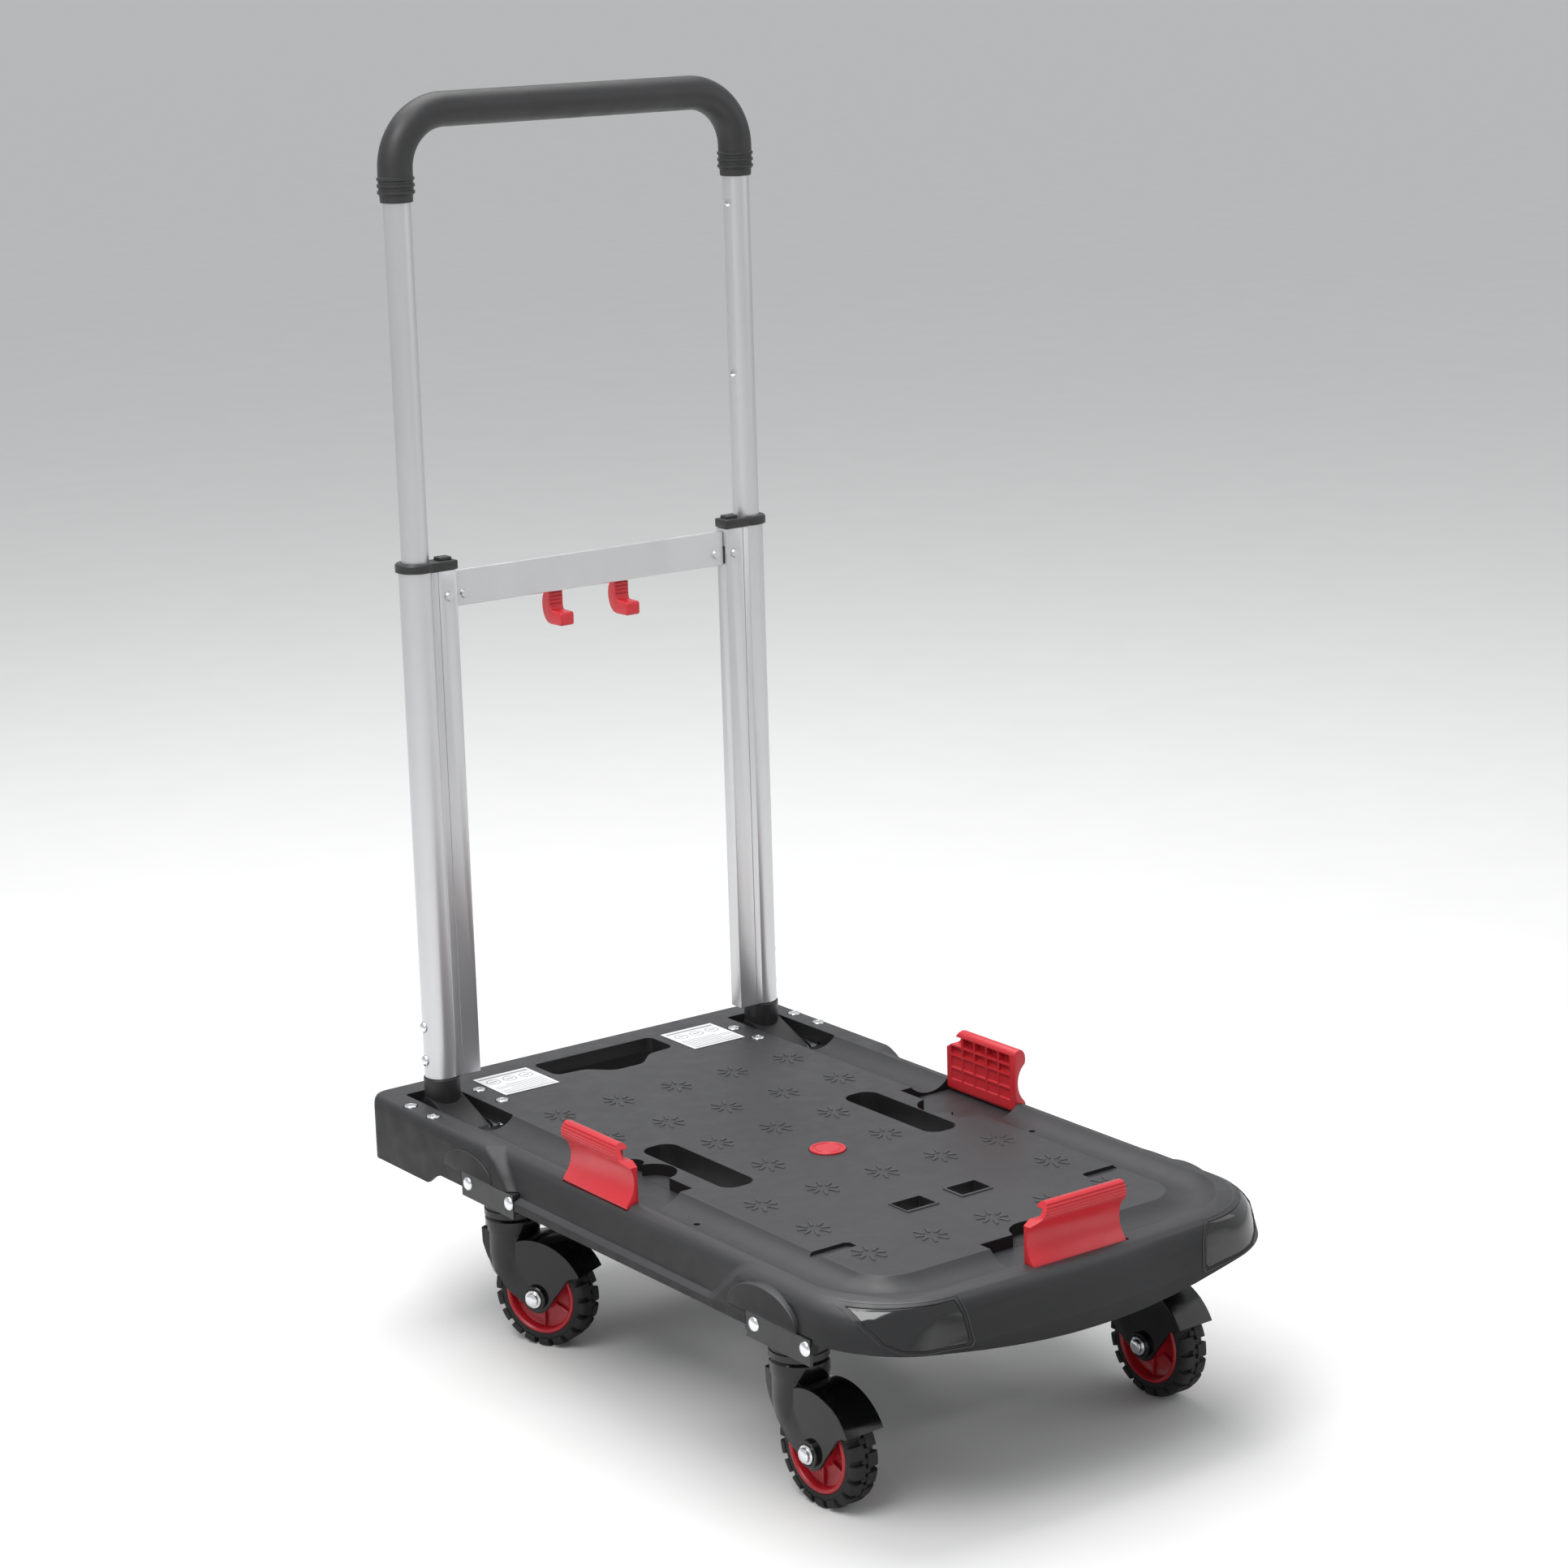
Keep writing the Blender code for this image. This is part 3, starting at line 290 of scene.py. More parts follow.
def along(start, direction):
    """A matrix whose local X runs from start along direction."""
    return Matrix.Translation(start) @ Vector(direction).to_track_quat("X", "Z").to_matrix().to_4x4()


def wire_along(bm, path, radius, sides=8):
    """Sweeps a ring along any path, turning it as little as it can."""
    points = [Vector(p) for p in path]
    normal = (points[1] - points[0]).orthogonal().normalized()
    rings = []
    for i, here in enumerate(points):
        tangent = (points[min(i + 1, len(points) - 1)] - points[max(i - 1, 0)]).normalized()
        normal = (normal - tangent * normal.dot(tangent)).normalized()
        other = tangent.cross(normal)
        rings.append([bm.verts.new(here + (normal * math.cos(a) + other * math.sin(a)) * radius)
                      for a in (math.tau * k / sides for k in range(sides))])
    for ring, following in zip(rings, rings[1:]):
        for k in range(sides):
            n = (k + 1) % sides
            bm.faces.new((ring[k], ring[n], following[n], following[k]))
    for ring in (rings[0], rings[-1]):
        bm.faces.new(ring)


def temp_object(bm):
    bmesh.ops.remove_doubles(bm, verts=bm.verts, dist=1e-6)
    bmesh.ops.recalc_face_normals(bm, faces=bm.faces)
    mesh = bpy.data.meshes.new("temporary")
    bm.to_mesh(mesh)
    bm.free()
    obj = bpy.data.objects.new("temporary", mesh)
    bpy.context.scene.collection.objects.link(obj)
    return obj


def combine(base, steps):
    """Applies (operation, bmesh) Booleans to a bmesh in order, and gives the result back."""
    body = temp_object(base)
    tools = []
    for operation, shape in steps:
        tool = temp_object(shape)
        tools.append(tool)
        modifier = body.modifiers.new(operation, "BOOLEAN")
        modifier.operation = operation
        modifier.solver = "EXACT"
        modifier.object = tool
    bpy.context.view_layer.update()
    evaluated = body.evaluated_get(bpy.context.evaluated_depsgraph_get())
    result = bmesh.new()
    result.from_mesh(evaluated.to_mesh())
    evaluated.to_mesh_clear()
    for obj in [body, *tools]:
        data = obj.data
        bpy.data.objects.remove(obj, do_unlink=True)
        bpy.data.meshes.remove(data)
    return result


def shape(build, *args, **kwargs):
    """A new bmesh holding one helper's shape."""
    bm = bmesh.new()
    build(bm, *args, **kwargs)
    return bm


UPWARD = along((0, 0, 0), (0, 0, 1))
# A prism's outline lies in its local YZ plane. FLAT lays it on the ground, and FACING turns it to the front.
FLAT = Matrix(((0, 1, 0, 0), (0, 0, 1, 0), (1, 0, 0, 0), (0, 0, 0, 1)))
FACING = Matrix(((0, 1, 0, 0), (1, 0, 0, 0), (0, 0, 1, 0), (0, 0, 0, 1)))

# ---- casters
TYRE_LUGS = 18
LUG_ANGLE = 0.235
SPOKES = 6
CHEEK_HALF = 0.0172
HOOD_RADIUS = 0.0487
BOSS_RADIUS = 0.0135
WHEEL_SPACE = (0.0142, 0.0457)
CAP_TOP = 0.1060
TRAIL = 0.0308
AXLE_HEIGHT = 0.043524
BOLT_SEAT = 0.0176
RACE_BOTTOM = -0.0740
FOLD_U = 0.145
FOLD_Z = -0.050
PLATE_HALF = 0.0302
BARREL_HALF = 0.0316
SPRING_TURNS = 14
SPRING_STEPS = 18
SPRING_RADIUS = 0.0062
SPRING_LENGTH = 0.0265
SPRING_WIRE = 0.0008
RIVET_FACE = 0.2040
RIVET_HEIGHT = -0.0375
RIVET_SETBACKS = (0.0070, 0.0685)


def build_tyre(bm, place):
    """The tyre with two staggered rings of tread lugs, each lug with a short bar towards the middle."""
    half = [(0.0112, 0.0323), (0.0118, 0.0340), (0.0115, 0.0366), (0.0104, 0.0382), (0.0085, 0.0391),
            (0.0060, 0.0397), (0.0030, 0.0401)]
    profile = half + [(-x, r) for x, r in reversed(half)]
    lathe(bm, profile, place, steps=64, closed=True)
    for side in (-1, 1):
        lug = [(0.0012, 0.0396), (0.0014, 0.0435), (0.0080, 0.0436), (0.0102, 0.0430), (0.0119, 0.0412),
               (0.0124, 0.0384), (0.0121, 0.0366), (0.0100, 0.0376), (0.0060, 0.0390)]
        bar = [(0.0016, 0.0396), (0.0016, 0.0428), (-0.0035, 0.0429), (-0.0040, 0.0396)]
        for k in range(TYRE_LUGS):
            angle = math.tau * (k + (0.5 if side > 0 else 0)) / TYRE_LUGS
            turn = place @ Matrix.Rotation(angle, 4, "X")
            lathe(bm, [(side * x, r) for x, r in lug], turn, steps=3, closed=True, sweep=LUG_ANGLE)
            small = turn @ Matrix.Rotation(LUG_ANGLE * 0.3, 4, "X")
            lathe(bm, [(side * x, r) for x, r in bar], small, steps=1, closed=True, sweep=LUG_ANGLE * 0.4)


def build_hub(bm, place):
    """The spoked rim, from the tyre seat to the bore."""
    rim = [(0.0026, 0.0322), (0.0112, 0.0322), (0.0122, 0.0314), (0.0124, 0.0302), (0.0116, 0.0290),
           (0.0102, 0.0284), (0.0052, 0.0278), (0.0040, 0.0262), (0.0032, 0.0200), (0.0040, 0.0135),
           (0.0090, 0.0118), (0.0134, 0.0108), (0.0139, 0.0098), (0.0139, 0.0046)]
    lathe(bm, rim + [(-x, r) for x, r in reversed(rim)], place, steps=56, closed=True)
    for k in range(SPOKES):
        spoke = place @ Matrix.Rotation(math.tau * k / SPOKES, 4, "X")
        box(bm, (-0.0064, 0.0064), (-0.0009, 0.0009), (0.0105, 0.0284), 0.0005, 1, spoke)


def cheek():
    """The fork's side outline round the axle: boss, leading edge, hood arc, neck and trailing edge."""
    tip = math.radians(29)
    edge = [(BOSS_RADIUS * math.cos(a), BOSS_RADIUS * math.sin(a))
            for a in (math.radians(212 + 12 * k) for k in range(10))]
    edge += [(0.0185, 0.0030), (0.0235, 0.0092), (0.0275, 0.0147), (0.0305, 0.0188), (0.0345, 0.0212),
             (0.0400, 0.0222)]
    edge += [(HOOD_RADIUS * math.cos(a), HOOD_RADIUS * math.sin(a))
             for a in (tip + math.radians(6) * k for k in range(16))]
    edge += [(-0.0160, 0.0497), (-0.0300, 0.0520), (-0.0505, 0.0524), (-0.0500, 0.0400), (-0.0462, 0.0290),
             (-0.0385, 0.0160), (-0.0270, 0.0020)]
    return edge


def build_fork(place):
    """The hooded fork: a rounded body over the wheel, the swivel neck and an axle boss on each cheek."""
    outline = [(-t, z) for t, z in cheek()]
    body = shape(prism, outline, (-CHEEK_HALF, CHEEK_HALF), Matrix(), bevel=0.0066, segments=6)
    top = CAP_TOP - AXLE_HEIGHT
    stations = [(top - drop, radius) for drop, radius in (
        (0.0560, 0.0110), (0.0500, 0.0168), (0.0420, 0.0200), (0.0300, 0.0213), (0.0120, 0.0218),
        (0.0105, 0.0226), (0.0016, 0.0226), (0.0, 0.0214))]
    neck = shape(lathe, stations, Matrix.Translation((0, TRAIL, 0)) @ UPWARD, steps=56)
    boss = [(0, 0.0106), (0.0036, 0.0106), (0.0042, 0.0100), (0.0042, 0.0084), (0.0034, 0.0078)]
    bosses = []
    for side in (-1, 1):
        seat = Matrix.Translation((side * 0.0165, 0, 0)) @ Matrix.Scale(side, 4, (1, 0, 0))
        bosses.append(("UNION", shape(lathe, boss, seat, steps=40)))
    half, radius = WHEEL_SPACE
    space = shape(lathe, [(-half, radius), (half, radius)], Matrix(), steps=64)
    bm = combine(body, [("UNION", neck), *bosses, ("DIFFERENCE", space)])
    bmesh.ops.transform(bm, matrix=place, verts=bm.verts)
    return bm


def build_bolt(place):
    """The axle bolt with a domed head and a nut face on each side."""
    head = [(0, 0.0074), (0.0040, 0.0074), (0.0046, 0.0066), (0.0046, 0.0058), (0.0066, 0.0056),
            (0.0076, 0.0042), (0.0079, 0.0020), (0.0079, 0.0)]
    bm = bmesh.new()
    for side in (-1, 1):
        seat = place @ Matrix.Translation((side * BOLT_SEAT, 0, 0)) @ Matrix.Scale(side, 4, (1, 0, 0))
        lathe(bm, head, seat, steps=32)
    lathe(bm, [(-BOLT_SEAT, 0.0039), (BOLT_SEAT, 0.0039)], place, steps=20)
    return bm


def build_swivel_plate(m, swivel, pin):
    """The folding base: a grooved ball race under a plate, with a hinge barrel at the fold pin."""
    low = up(RACE_BOTTOM)
    race = [(low, 0.0216), (low + 0.0008, 0.0228), (low + 0.0060, 0.0228), (low + 0.0066, 0.0218),
            (low + 0.0076, 0.0218), (low + 0.0082, 0.0228), (low + 0.0150, 0.0226), (low + 0.0172, 0.0210)]
    cup = shape(lathe, race, along((swivel.x, swivel.y, 0), (0, 0, 1)), steps=56)
    plate = shape(box, sorted((m * 0.1400, m * 0.1872)), (swivel.y - PLATE_HALF, swivel.y + PLATE_HALF),
                  (up(-0.0572), up(-0.0540)), bevel=0.0008)
    across = along(pin, (0, 1, 0))
    ends = [(-BARREL_HALF, 0.0046), (-0.0312, 0.0051), (0.0312, 0.0051), (BARREL_HALF, 0.0046)]
    barrel = shape(lathe, ends, across, steps=32)
    notch = shape(box, sorted((m * 0.1300, m * 0.1530)), (swivel.y - 0.0010, swivel.y + 0.0290),
                  (up(-0.0580), up(-0.0530)))
    bore = shape(lathe, [(-0.04, 0.0032), (0.04, 0.0032)], across, steps=20)
    return combine(cup, [("UNION", plate), ("DIFFERENCE", notch), ("UNION", barrel), ("DIFFERENCE", bore)])


def build_spring(m, pin):
    """The coil round the fold pin, with a leg up into the deck and, on the right, a foot on the plate."""
    turns = SPRING_TURNS * math.tau
    coil = [(pin[0] + SPRING_RADIUS * math.cos(a), pin[1] + 0.0010 + SPRING_LENGTH * a / turns,
             pin[2] + SPRING_RADIUS * math.sin(a))
            for a in (math.tau * k / SPRING_STEPS for k in range(SPRING_TURNS * SPRING_STEPS + 1))]
    first, last = coil[0], coil[-1]
    leg = [(last[0] + 0.0005, last[1] + 0.0002, last[2] + 0.010), (last[0] + 0.0010, last[1], up(-0.0160))]
    foot = []
    if m > 0:
        foot = [(first[0] + m * 0.0200, first[1] - 0.0004, up(-0.0530)),
                (first[0] + m * 0.0060, first[1], up(-0.0528))]
    return shape(wire_along, foot + coil + leg, SPRING_WIRE, 8)


def build_rivets(m, row_y):
    """The two domed rivets that hold the caster bracket to the side of the deck."""
    dome = [(0, 0.0058), (0.0008, 0.0058), (0.0020, 0.0050), (0.0028, 0.0034), (0.0031, 0.0)]
    bm = bmesh.new()
    for setback in RIVET_SETBACKS:
        lathe(bm, dome, along((m * RIVET_FACE, row_y - setback, up(RIVET_HEIGHT)), (m, 0, 0)), steps=28)
    return bm


for tag in TAGS:
    spin = JOINTS[f"wheel_spin_{tag}"]
    yaw = math.atan2(spin["axis"][1], spin["axis"][0])
    place = Matrix.Translation(Vector(spin["pos_m"])) @ Matrix.Rotation(yaw, 4, "Z")
    tyre = piece(f"tread_{tag}", shape(build_tyre, place), "tyre", f"wheel_{tag}", 35)
    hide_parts(f"tyre_{tag}")
    hub = piece(f"rim_{tag}", shape(build_hub, place), "hub", f"wheel_{tag}", 35)
    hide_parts(f"hub_{tag}")
    fork = piece(f"hood_{tag}", build_fork(place), "fork", f"fork_{tag}", 32)
    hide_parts(f"fork_{tag}")
    axle = piece(f"axle_bolt_{tag}", build_bolt(place), "zinc", f"fork_{tag}", 30)
    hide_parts(f"axle_{tag}")
    swivel = Vector(JOINTS[f"caster_swivel_{tag}"]["pos_m"])
    m = -1 if tag.endswith("left") else 1
    pin = (m * FOLD_U, swivel.y, up(FOLD_Z))
    base = piece(f"swivel_plate_{tag}", build_swivel_plate(m, swivel, pin), "steel", f"caster_base_{tag}",
                 35)
    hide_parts(f"caster_base_{tag}")
    piece(f"return_spring_{tag}", build_spring(m, pin), "zinc", "deck", 50)
    piece(f"rivets_{tag}", build_rivets(m, swivel.y), "zinc", "deck", 35)

# ---- flip-up stops
STOP_HALF = 0.044
TRUNNION_HALF = STOP_HALF + 0.0038
TRUNNION_RADIUS = 0.0018
RIB_CELLS = 5
CELL_PITCH = 0.0155
CELL_WIDTH = 0.0135
LIP_GROOVES = ((-0.0068, 0.0383), (-0.0071, 0.0404), (-0.0069, 0.0425), (-0.0062, 0.0447), (-0.0049, 0.0469))


def stop_profile():
    """(outward, up) round the stop: the pivot, the hollow outer face, the lip and the inner face."""
    pivot = [(-0.0048 * math.cos(a), -0.0048 * math.sin(a)) for a in (math.pi * k / 12 for k in range(13))]
    return pivot + [
        (0.0062, 0.0012), (0.0066, 0.0026), (0.0060, 0.0042), (0.0044, 0.0062), (0.0022, 0.0090),
        (0.0006, 0.0120), (-0.0006, 0.0155), (-0.0012, 0.0195), (-0.0011, 0.0235), (-0.0004, 0.0270),
        (0.0010, 0.0305), (0.0030, 0.0334), (0.0056, 0.0360), (0.0066, 0.0376), (0.0070, 0.0402),
        (0.0066, 0.0440), (0.0052, 0.0470), (0.0030, 0.0487), (0.0002, 0.0491), (-0.0026, 0.0482),
        (-0.0042, 0.0466), (-0.0048, 0.0445),
    ]


def build_stop(place, trim_end):
    """A stop with a ribbed back, a grooved lip, one trimmed corner and its pivot rod."""
    outline = [(-outward, z) for outward, z in stop_profile()]
    body = shape(prism, outline, (-STOP_HALF, STOP_HALF), Matrix(), bevel=0.0005, segments=2)
    steps = []
    for k in range(RIB_CELLS):
        x = -0.0375 + CELL_PITCH * k
        across = (x, x + CELL_WIDTH)
        for low, high in ((0.0062, 0.0150), (0.0166, 0.0262), (0.0278, 0.0345)):
            inner = 0.0012 + 0.0030 * math.sin(math.pi * min(1, (low + high) / 0.06))
            cell = shape(box, across, (inner, 0.02), (low, high), bevel=0.0006, segments=1)
            steps.append(("DIFFERENCE", cell))
        lip_cell = shape(box, across, (-0.0020, 0.02), (0.0362, 0.0440), bevel=0.0006, segments=1)
        steps.append(("DIFFERENCE", lip_cell))
    corner = [(trim_end * x, z) for x, z in ((0.0280, 0.0502), (0.0345, 0.0385), (0.0480, 0.0300),
                                             (0.0560, 0.0600), (0.0280, 0.0600))]
    steps.append(("DIFFERENCE", shape(prism, corner, (-0.02, 0.02), FACING)))
    for y, z in LIP_GROOVES:
        groove_at = Matrix.Translation((0, y, z))
        steps.append(("DIFFERENCE", shape(lathe, [(-0.06, 0.0007), (0.06, 0.0007)], groove_at, steps=8)))
    bm = combine(body, steps)
    lathe(bm, [(-TRUNNION_HALF, TRUNNION_RADIUS), (TRUNNION_HALF, TRUNNION_RADIUS)], Matrix(), steps=16)
    bmesh.ops.transform(bm, matrix=place, verts=bm.verts)
    return bm


for name, inward, trim_end in (("left", -math.pi / 2, 1), ("right", math.pi / 2, 1), ("front", 0.0, -1)):
    at = Matrix.Translation(JOINTS[f"stop_{name}_fold"]["pos_m"]) @ Matrix.Rotation(inward, 4, "Z")
    flap = piece(f"load_stop_{name}", build_stop(at, trim_end), "red", f"stop_{name}", 30)
    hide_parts(f"stop_{name}")

# ---- handle
TUBE_X = 0.1626
TUBE_Y = 0.0503
TUBE_RADIUS = 0.0111
HANDLE_TOP = 0.803
HANDLE_BEND = 0.045
TUBE_FOOT = 0.4084
LOCK_Z = 0.4284
LOCK_LEAN = 0.26
LOCK_HOLES = 3
LOCK_SPACING = 0.1415
GRIP_RADIUS = 0.0139
GRIP_LOWEST = 0.7395
CUFF_LOWEST = 0.7332
RAIL_RADIUS = 0.0140
RAIL_BORE = 0.0122
RAIL_FOOT = 0.0194
RAIL_TOP = 0.4407
COLLAR_LOW = 0.4410
COLLAR_TOP = 0.4485
RIVET_HEIGHTS = (0.0339, 0.0625)
HOOK_GROOVES = 4


def handle_line(lowest, steps=16):
    corners = [(-TUBE_X, aft(TUBE_Y), up(lowest)), (-TUBE_X, aft(TUBE_Y), up(HANDLE_TOP)),
               (TUBE_X, aft(TUBE_Y), up(HANDLE_TOP)), (TUBE_X, aft(TUBE_Y), up(lowest))]
    return bend(corners, [0, HANDLE_BEND, HANDLE_BEND, 0], steps, closed=False)


def capped_tube(path, radius, sides):
    bm = bmesh.new()
    rings = tube(bm, path, radius, sides)
    for ring in (rings[0], rings[-1]):
        bm.faces.new(ring)
    return bm


def build_upper_tube():
    """The bent upper tube with the lock holes of each leg."""
    holes = []
    for _, m in SIDES:
        for k in range(LOCK_HOLES):
            centre = Vector((m * TUBE_X, aft(TUBE_Y), up(LOCK_Z + LOCK_SPACING * k)))
            reach = Vector((-m * math.cos(LOCK_LEAN), -math.sin(LOCK_LEAN), 0))
            hole = shape(lathe, [(0.0085, 0.0033), (0.020, 0.0033)], along(centre, reach), steps=24)
            holes.append(("DIFFERENCE", hole))
    return combine(capped_tube(handle_line(TUBE_FOOT), TUBE_RADIUS, 48), holes)


def build_grip():
    """The foam grip with a ringed cuff at each end."""
    bm = capped_tube(handle_line(GRIP_LOWEST, 20), GRIP_RADIUS, 48)
    cuff = [(0, 0.0122), (0.0006, 0.0130), (0.0056, 0.0132), (0.0060, 0.0138)]
    for k in range(3):
        start = 0.0066 + 0.0052 * k
        cuff += [(start, 0.0138), (start + 0.0006, 0.0149), (start + 0.0026, 0.0149),
                 (start + 0.0032, 0.0138)]
    cuff += [(0.0236, 0.0137), (0.0250, 0.0139)]
    for _, m in SIDES:
        lathe(bm, cuff, along((m * TUBE_X, aft(TUBE_Y), up(CUFF_LOWEST)), (0, 0, 1)), steps=48)
    return bm


def build_upright(m, standing):
    """The lower tube and its box channel, with the seam, the tongue slot and the crossbar's bolt hole."""
    bottom, top = up(RAIL_FOOT), up(RAIL_TOP)
    beyond = (bottom - 0.01, top + 0.01)
    rail = shape(lathe, [(bottom, RAIL_RADIUS), (top, RAIL_RADIUS)], standing, steps=64)
    channel = shape(box, sorted((m * 0.1325, m * 0.1560)), (aft(0.0632), aft(0.0485)), (bottom, top), 0.0009)
    seam = shape(box, sorted((m * 0.1494, m * 0.1499)), (aft(0.0660), aft(0.0626)), beyond)
    bore = shape(lathe, [(beyond[0], RAIL_BORE), (beyond[1], RAIL_BORE)], standing, steps=48)
    pocket = shape(box, sorted((m * 0.1341, m * 0.1500)), (aft(0.0624), aft(0.0506)), beyond)
    slot = shape(box, sorted((m * 0.1300, m * 0.1346)), (aft(0.0605), aft(0.0545)), (up(0.4110), up(0.4255)))
    hole_at = along((m * 0.1405, aft(0.0640), up(0.4195)), (0, -1, 0))
    hole = shape(lathe, [(-0.01, 0.0024), (0.01, 0.0024)], hole_at, steps=16)
    cuts = [("DIFFERENCE", cut) for cut in (seam, bore, pocket, slot, hole)]
    return combine(rail, [("UNION", channel), *cuts])


def build_upright_rivets(m):
    dome = [(0, 0.0046), (0.0012, 0.0046), (0.0024, 0.0040), (0.0033, 0.0024), (0.0036, 0.0)]
    bm = bmesh.new()
    for height in RIVET_HEIGHTS:
        lathe(bm, dome, along((m * 0.1758, aft(TUBE_Y - 0.001), up(height)), (m, 0, 0)), steps=28)
    return bm


def build_sleeve(standing):
    """The round sleeve of the hinge knuckle at the foot of an upright."""
    stations = [(-0.0185, 0.0128), (-0.0155, 0.0145), (0.0180, 0.01505), (0.0191, 0.0143), (0.0191, 0.0119),
                (0.0600, 0.0119)]
    return shape(lathe, [(up(height), radius) for height, radius in stations], standing, steps=56)


def build_collar(m, standing):
    """The collar at the top of an upright: a ring and a lug with the button's well."""
    stations = [(COLLAR_LOW, 0.0158), (0.4414, 0.0165), (0.4470, 0.0165), (0.4482, 0.0154),
                (COLLAR_TOP, 0.0140)]
    ring = shape(lathe, [(up(height), radius) for height, radius in stations], standing, steps=56)
    lug = shape(box, sorted((m * 0.1318, m * 0.1560)), (aft(0.0652), aft(0.0478)),
                (up(COLLAR_LOW), up(COLLAR_TOP)), bevel=0.0010)
    well = shape(box, sorted((m * 0.1346, m * 0.1468)), (aft(0.0622), aft(0.0502)), (up(0.4440), up(0.46)))
    gap = shape(lathe, [(up(0.43), 0.0113), (up(0.46), 0.0113)], standing, steps=48)
    guide_at = along((m * 0.1407, aft(0.0562), 0), (0, 0, 1))
    guide = shape(lathe, [(up(0.43), 0.0026), (up(0.46), 0.0026)], guide_at, steps=16)
    return combine(ring, [("UNION", lug), ("DIFFERENCE", well), ("DIFFERENCE", gap), ("DIFFERENCE", guide)])


def build_hook(m):
    """A bag hook with a foot that reaches the crossbar and grooves across its front."""
    profile = [
        (0.0527, 0.4250), (0.0527, 0.3960), (0.0533, 0.3938), (0.0550, 0.3927), (0.0672, 0.3925),
        (0.0684, 0.3912), (0.0684, 0.3830), (0.0672, 0.3816), (0.0520, 0.3813), (0.0478, 0.3822),
        (0.0443, 0.3848), (0.0417, 0.3888), (0.0404, 0.3936), (0.0402, 0.3985), (0.0412, 0.4032),
        (0.0432, 0.4070), (0.0462, 0.4100), (0.0484, 0.4122), (0.0489, 0.4250),
    ]
    hook = shape(prism, [(aft(y), up(z)) for y, z in profile], sorted((m * 0.0260, m * 0.0390)), Matrix(),
                 bevel=0.0010, segments=3)
    foot = shape(box, sorted((m * 0.0268, m * 0.0382)), (aft(0.0557), aft(0.0520)), (up(0.4110), up(0.4245)),
                 bevel=0.0005)
    steps = [("UNION", foot)]
    for k in range(HOOK_GROOVES):
        level = 0.3975 + 0.0032 * k
        groove = shape(box, (-0.05, 0.05), (aft(0.0540), aft(0.0518)), (up(level), up(level + 0.0012)))
        steps.append(("DIFFERENCE", groove))
    return combine(hook, steps)


upper_tube = piece("upper_tube", build_upper_tube(), "alloy", "upper_handle", 35)
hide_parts("handle_tube")
grip = piece("grip_sleeve", build_grip(), "grip", "upper_handle", 35)
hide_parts("grip")
for side, m in SIDES:
    standing = along((m * TUBE_X, aft(TUBE_Y), 0), (0, 0, 1))
    upright = piece(f"upright_{side}", build_upright(m, standing), "alloy", "handle_frame", 30)
    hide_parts(f"lower_upright_{side}")
    piece(f"upright_rivets_{side}", build_upright_rivets(m), "zinc", "handle_frame", 35)
    piece(f"knuckle_sleeve_{side}", build_sleeve(standing), "black", "handle_frame", 35)
    collar = build_collar(m, standing)
    band = piece(f"collar_band_{side}", collar, "black", "handle_frame", 35)
    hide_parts(f"collar_{side}")
    hook = piece(f"bag_hook_{side}", build_hook(m), "red", "handle_frame", 35)
    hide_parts(f"hook_{side}")

# ---- deck
# Each row is one level of the deck's outline: height, half width at the rear, the middle and the front,
# distance aft of the front corner and of the front's centre, corner radius, inset of the back, and where the
# rear and front width changes start and end.
OUTER = [
    (0.0, 0.2008, 0.1873, 0.1888, 0.6648, 0.6738, 0.075, 0.0027, 0.172, 0.198, 0.512, 0.545),
    (-0.0005, 0.2017, 0.1882, 0.1897, 0.6657, 0.6747, 0.075, 0.0018, 0.172, 0.199, 0.511, 0.544),
    (-0.0014, 0.2026, 0.1899, 0.1915, 0.6667, 0.6763, 0.074, 0.0010, 0.174, 0.201, 0.510, 0.542),
    (-0.0035, 0.2038, 0.1925, 0.1955, 0.6680, 0.6785, 0.073, 0.0005, 0.177, 0.204, 0.508, 0.538),
    (-0.0065, 0.2043, 0.1942, 0.1983, 0.6686, 0.6801, 0.072, 0.0002, 0.182, 0.209, 0.505, 0.532),
    (-0.0100, 0.2045, 0.1955, 0.2005, 0.6690, 0.6815, 0.070, 0.0, 0.187, 0.213, 0.502, 0.527),
    (-0.0200, 0.2045, 0.1967, 0.2020, 0.6695, 0.6851, 0.067, 0.0, 0.197, 0.220, 0.492, 0.516),
    (-0.0280, 0.2045, 0.1975, 0.2029, 0.6698, 0.6875, 0.065, 0.0, 0.205, 0.225, 0.485, 0.508),
    (-0.0322, 0.2045, 0.1984, 0.2034, 0.6700, 0.6889, 0.064, 0.0, 0.210, 0.228, 0.480, 0.503),
    (-0.0345, 0.2045, 0.2035, 0.2045, 0.6700, 0.6897, 0.064, 0.0, 0.210, 0.228, 0.480, 0.503),
    (-0.0352, 0.2045, 0.2041, 0.2045, 0.6700, 0.6900, 0.064, 0.0, 0.210, 0.228, 0.480, 0.503),
    (-0.0540, 0.2045, 0.2045, 0.2045, 0.6705, 0.6923, 0.062, 0.0, 0.210, 0.228, 0.480, 0.503),
]
HOLLOW = [
    (-0.0120, 0.1995, 0.1932, 0.1965, 0.6640, 0.6740, 0.062, 0.005, 0.165, 0.200, 0.505, 0.535),
    (-0.0345, 0.2005, 0.1960, 0.1985, 0.6650, 0.6820, 0.060, 0.004, 0.165, 0.200, 0.505, 0.535),
    (-0.0700, 0.2010, 0.2005, 0.2010, 0.6660, 0.6860, 0.060, 0.004, 0.165, 0.200, 0.505, 0.535),
]
RAMP_STEPS = 6
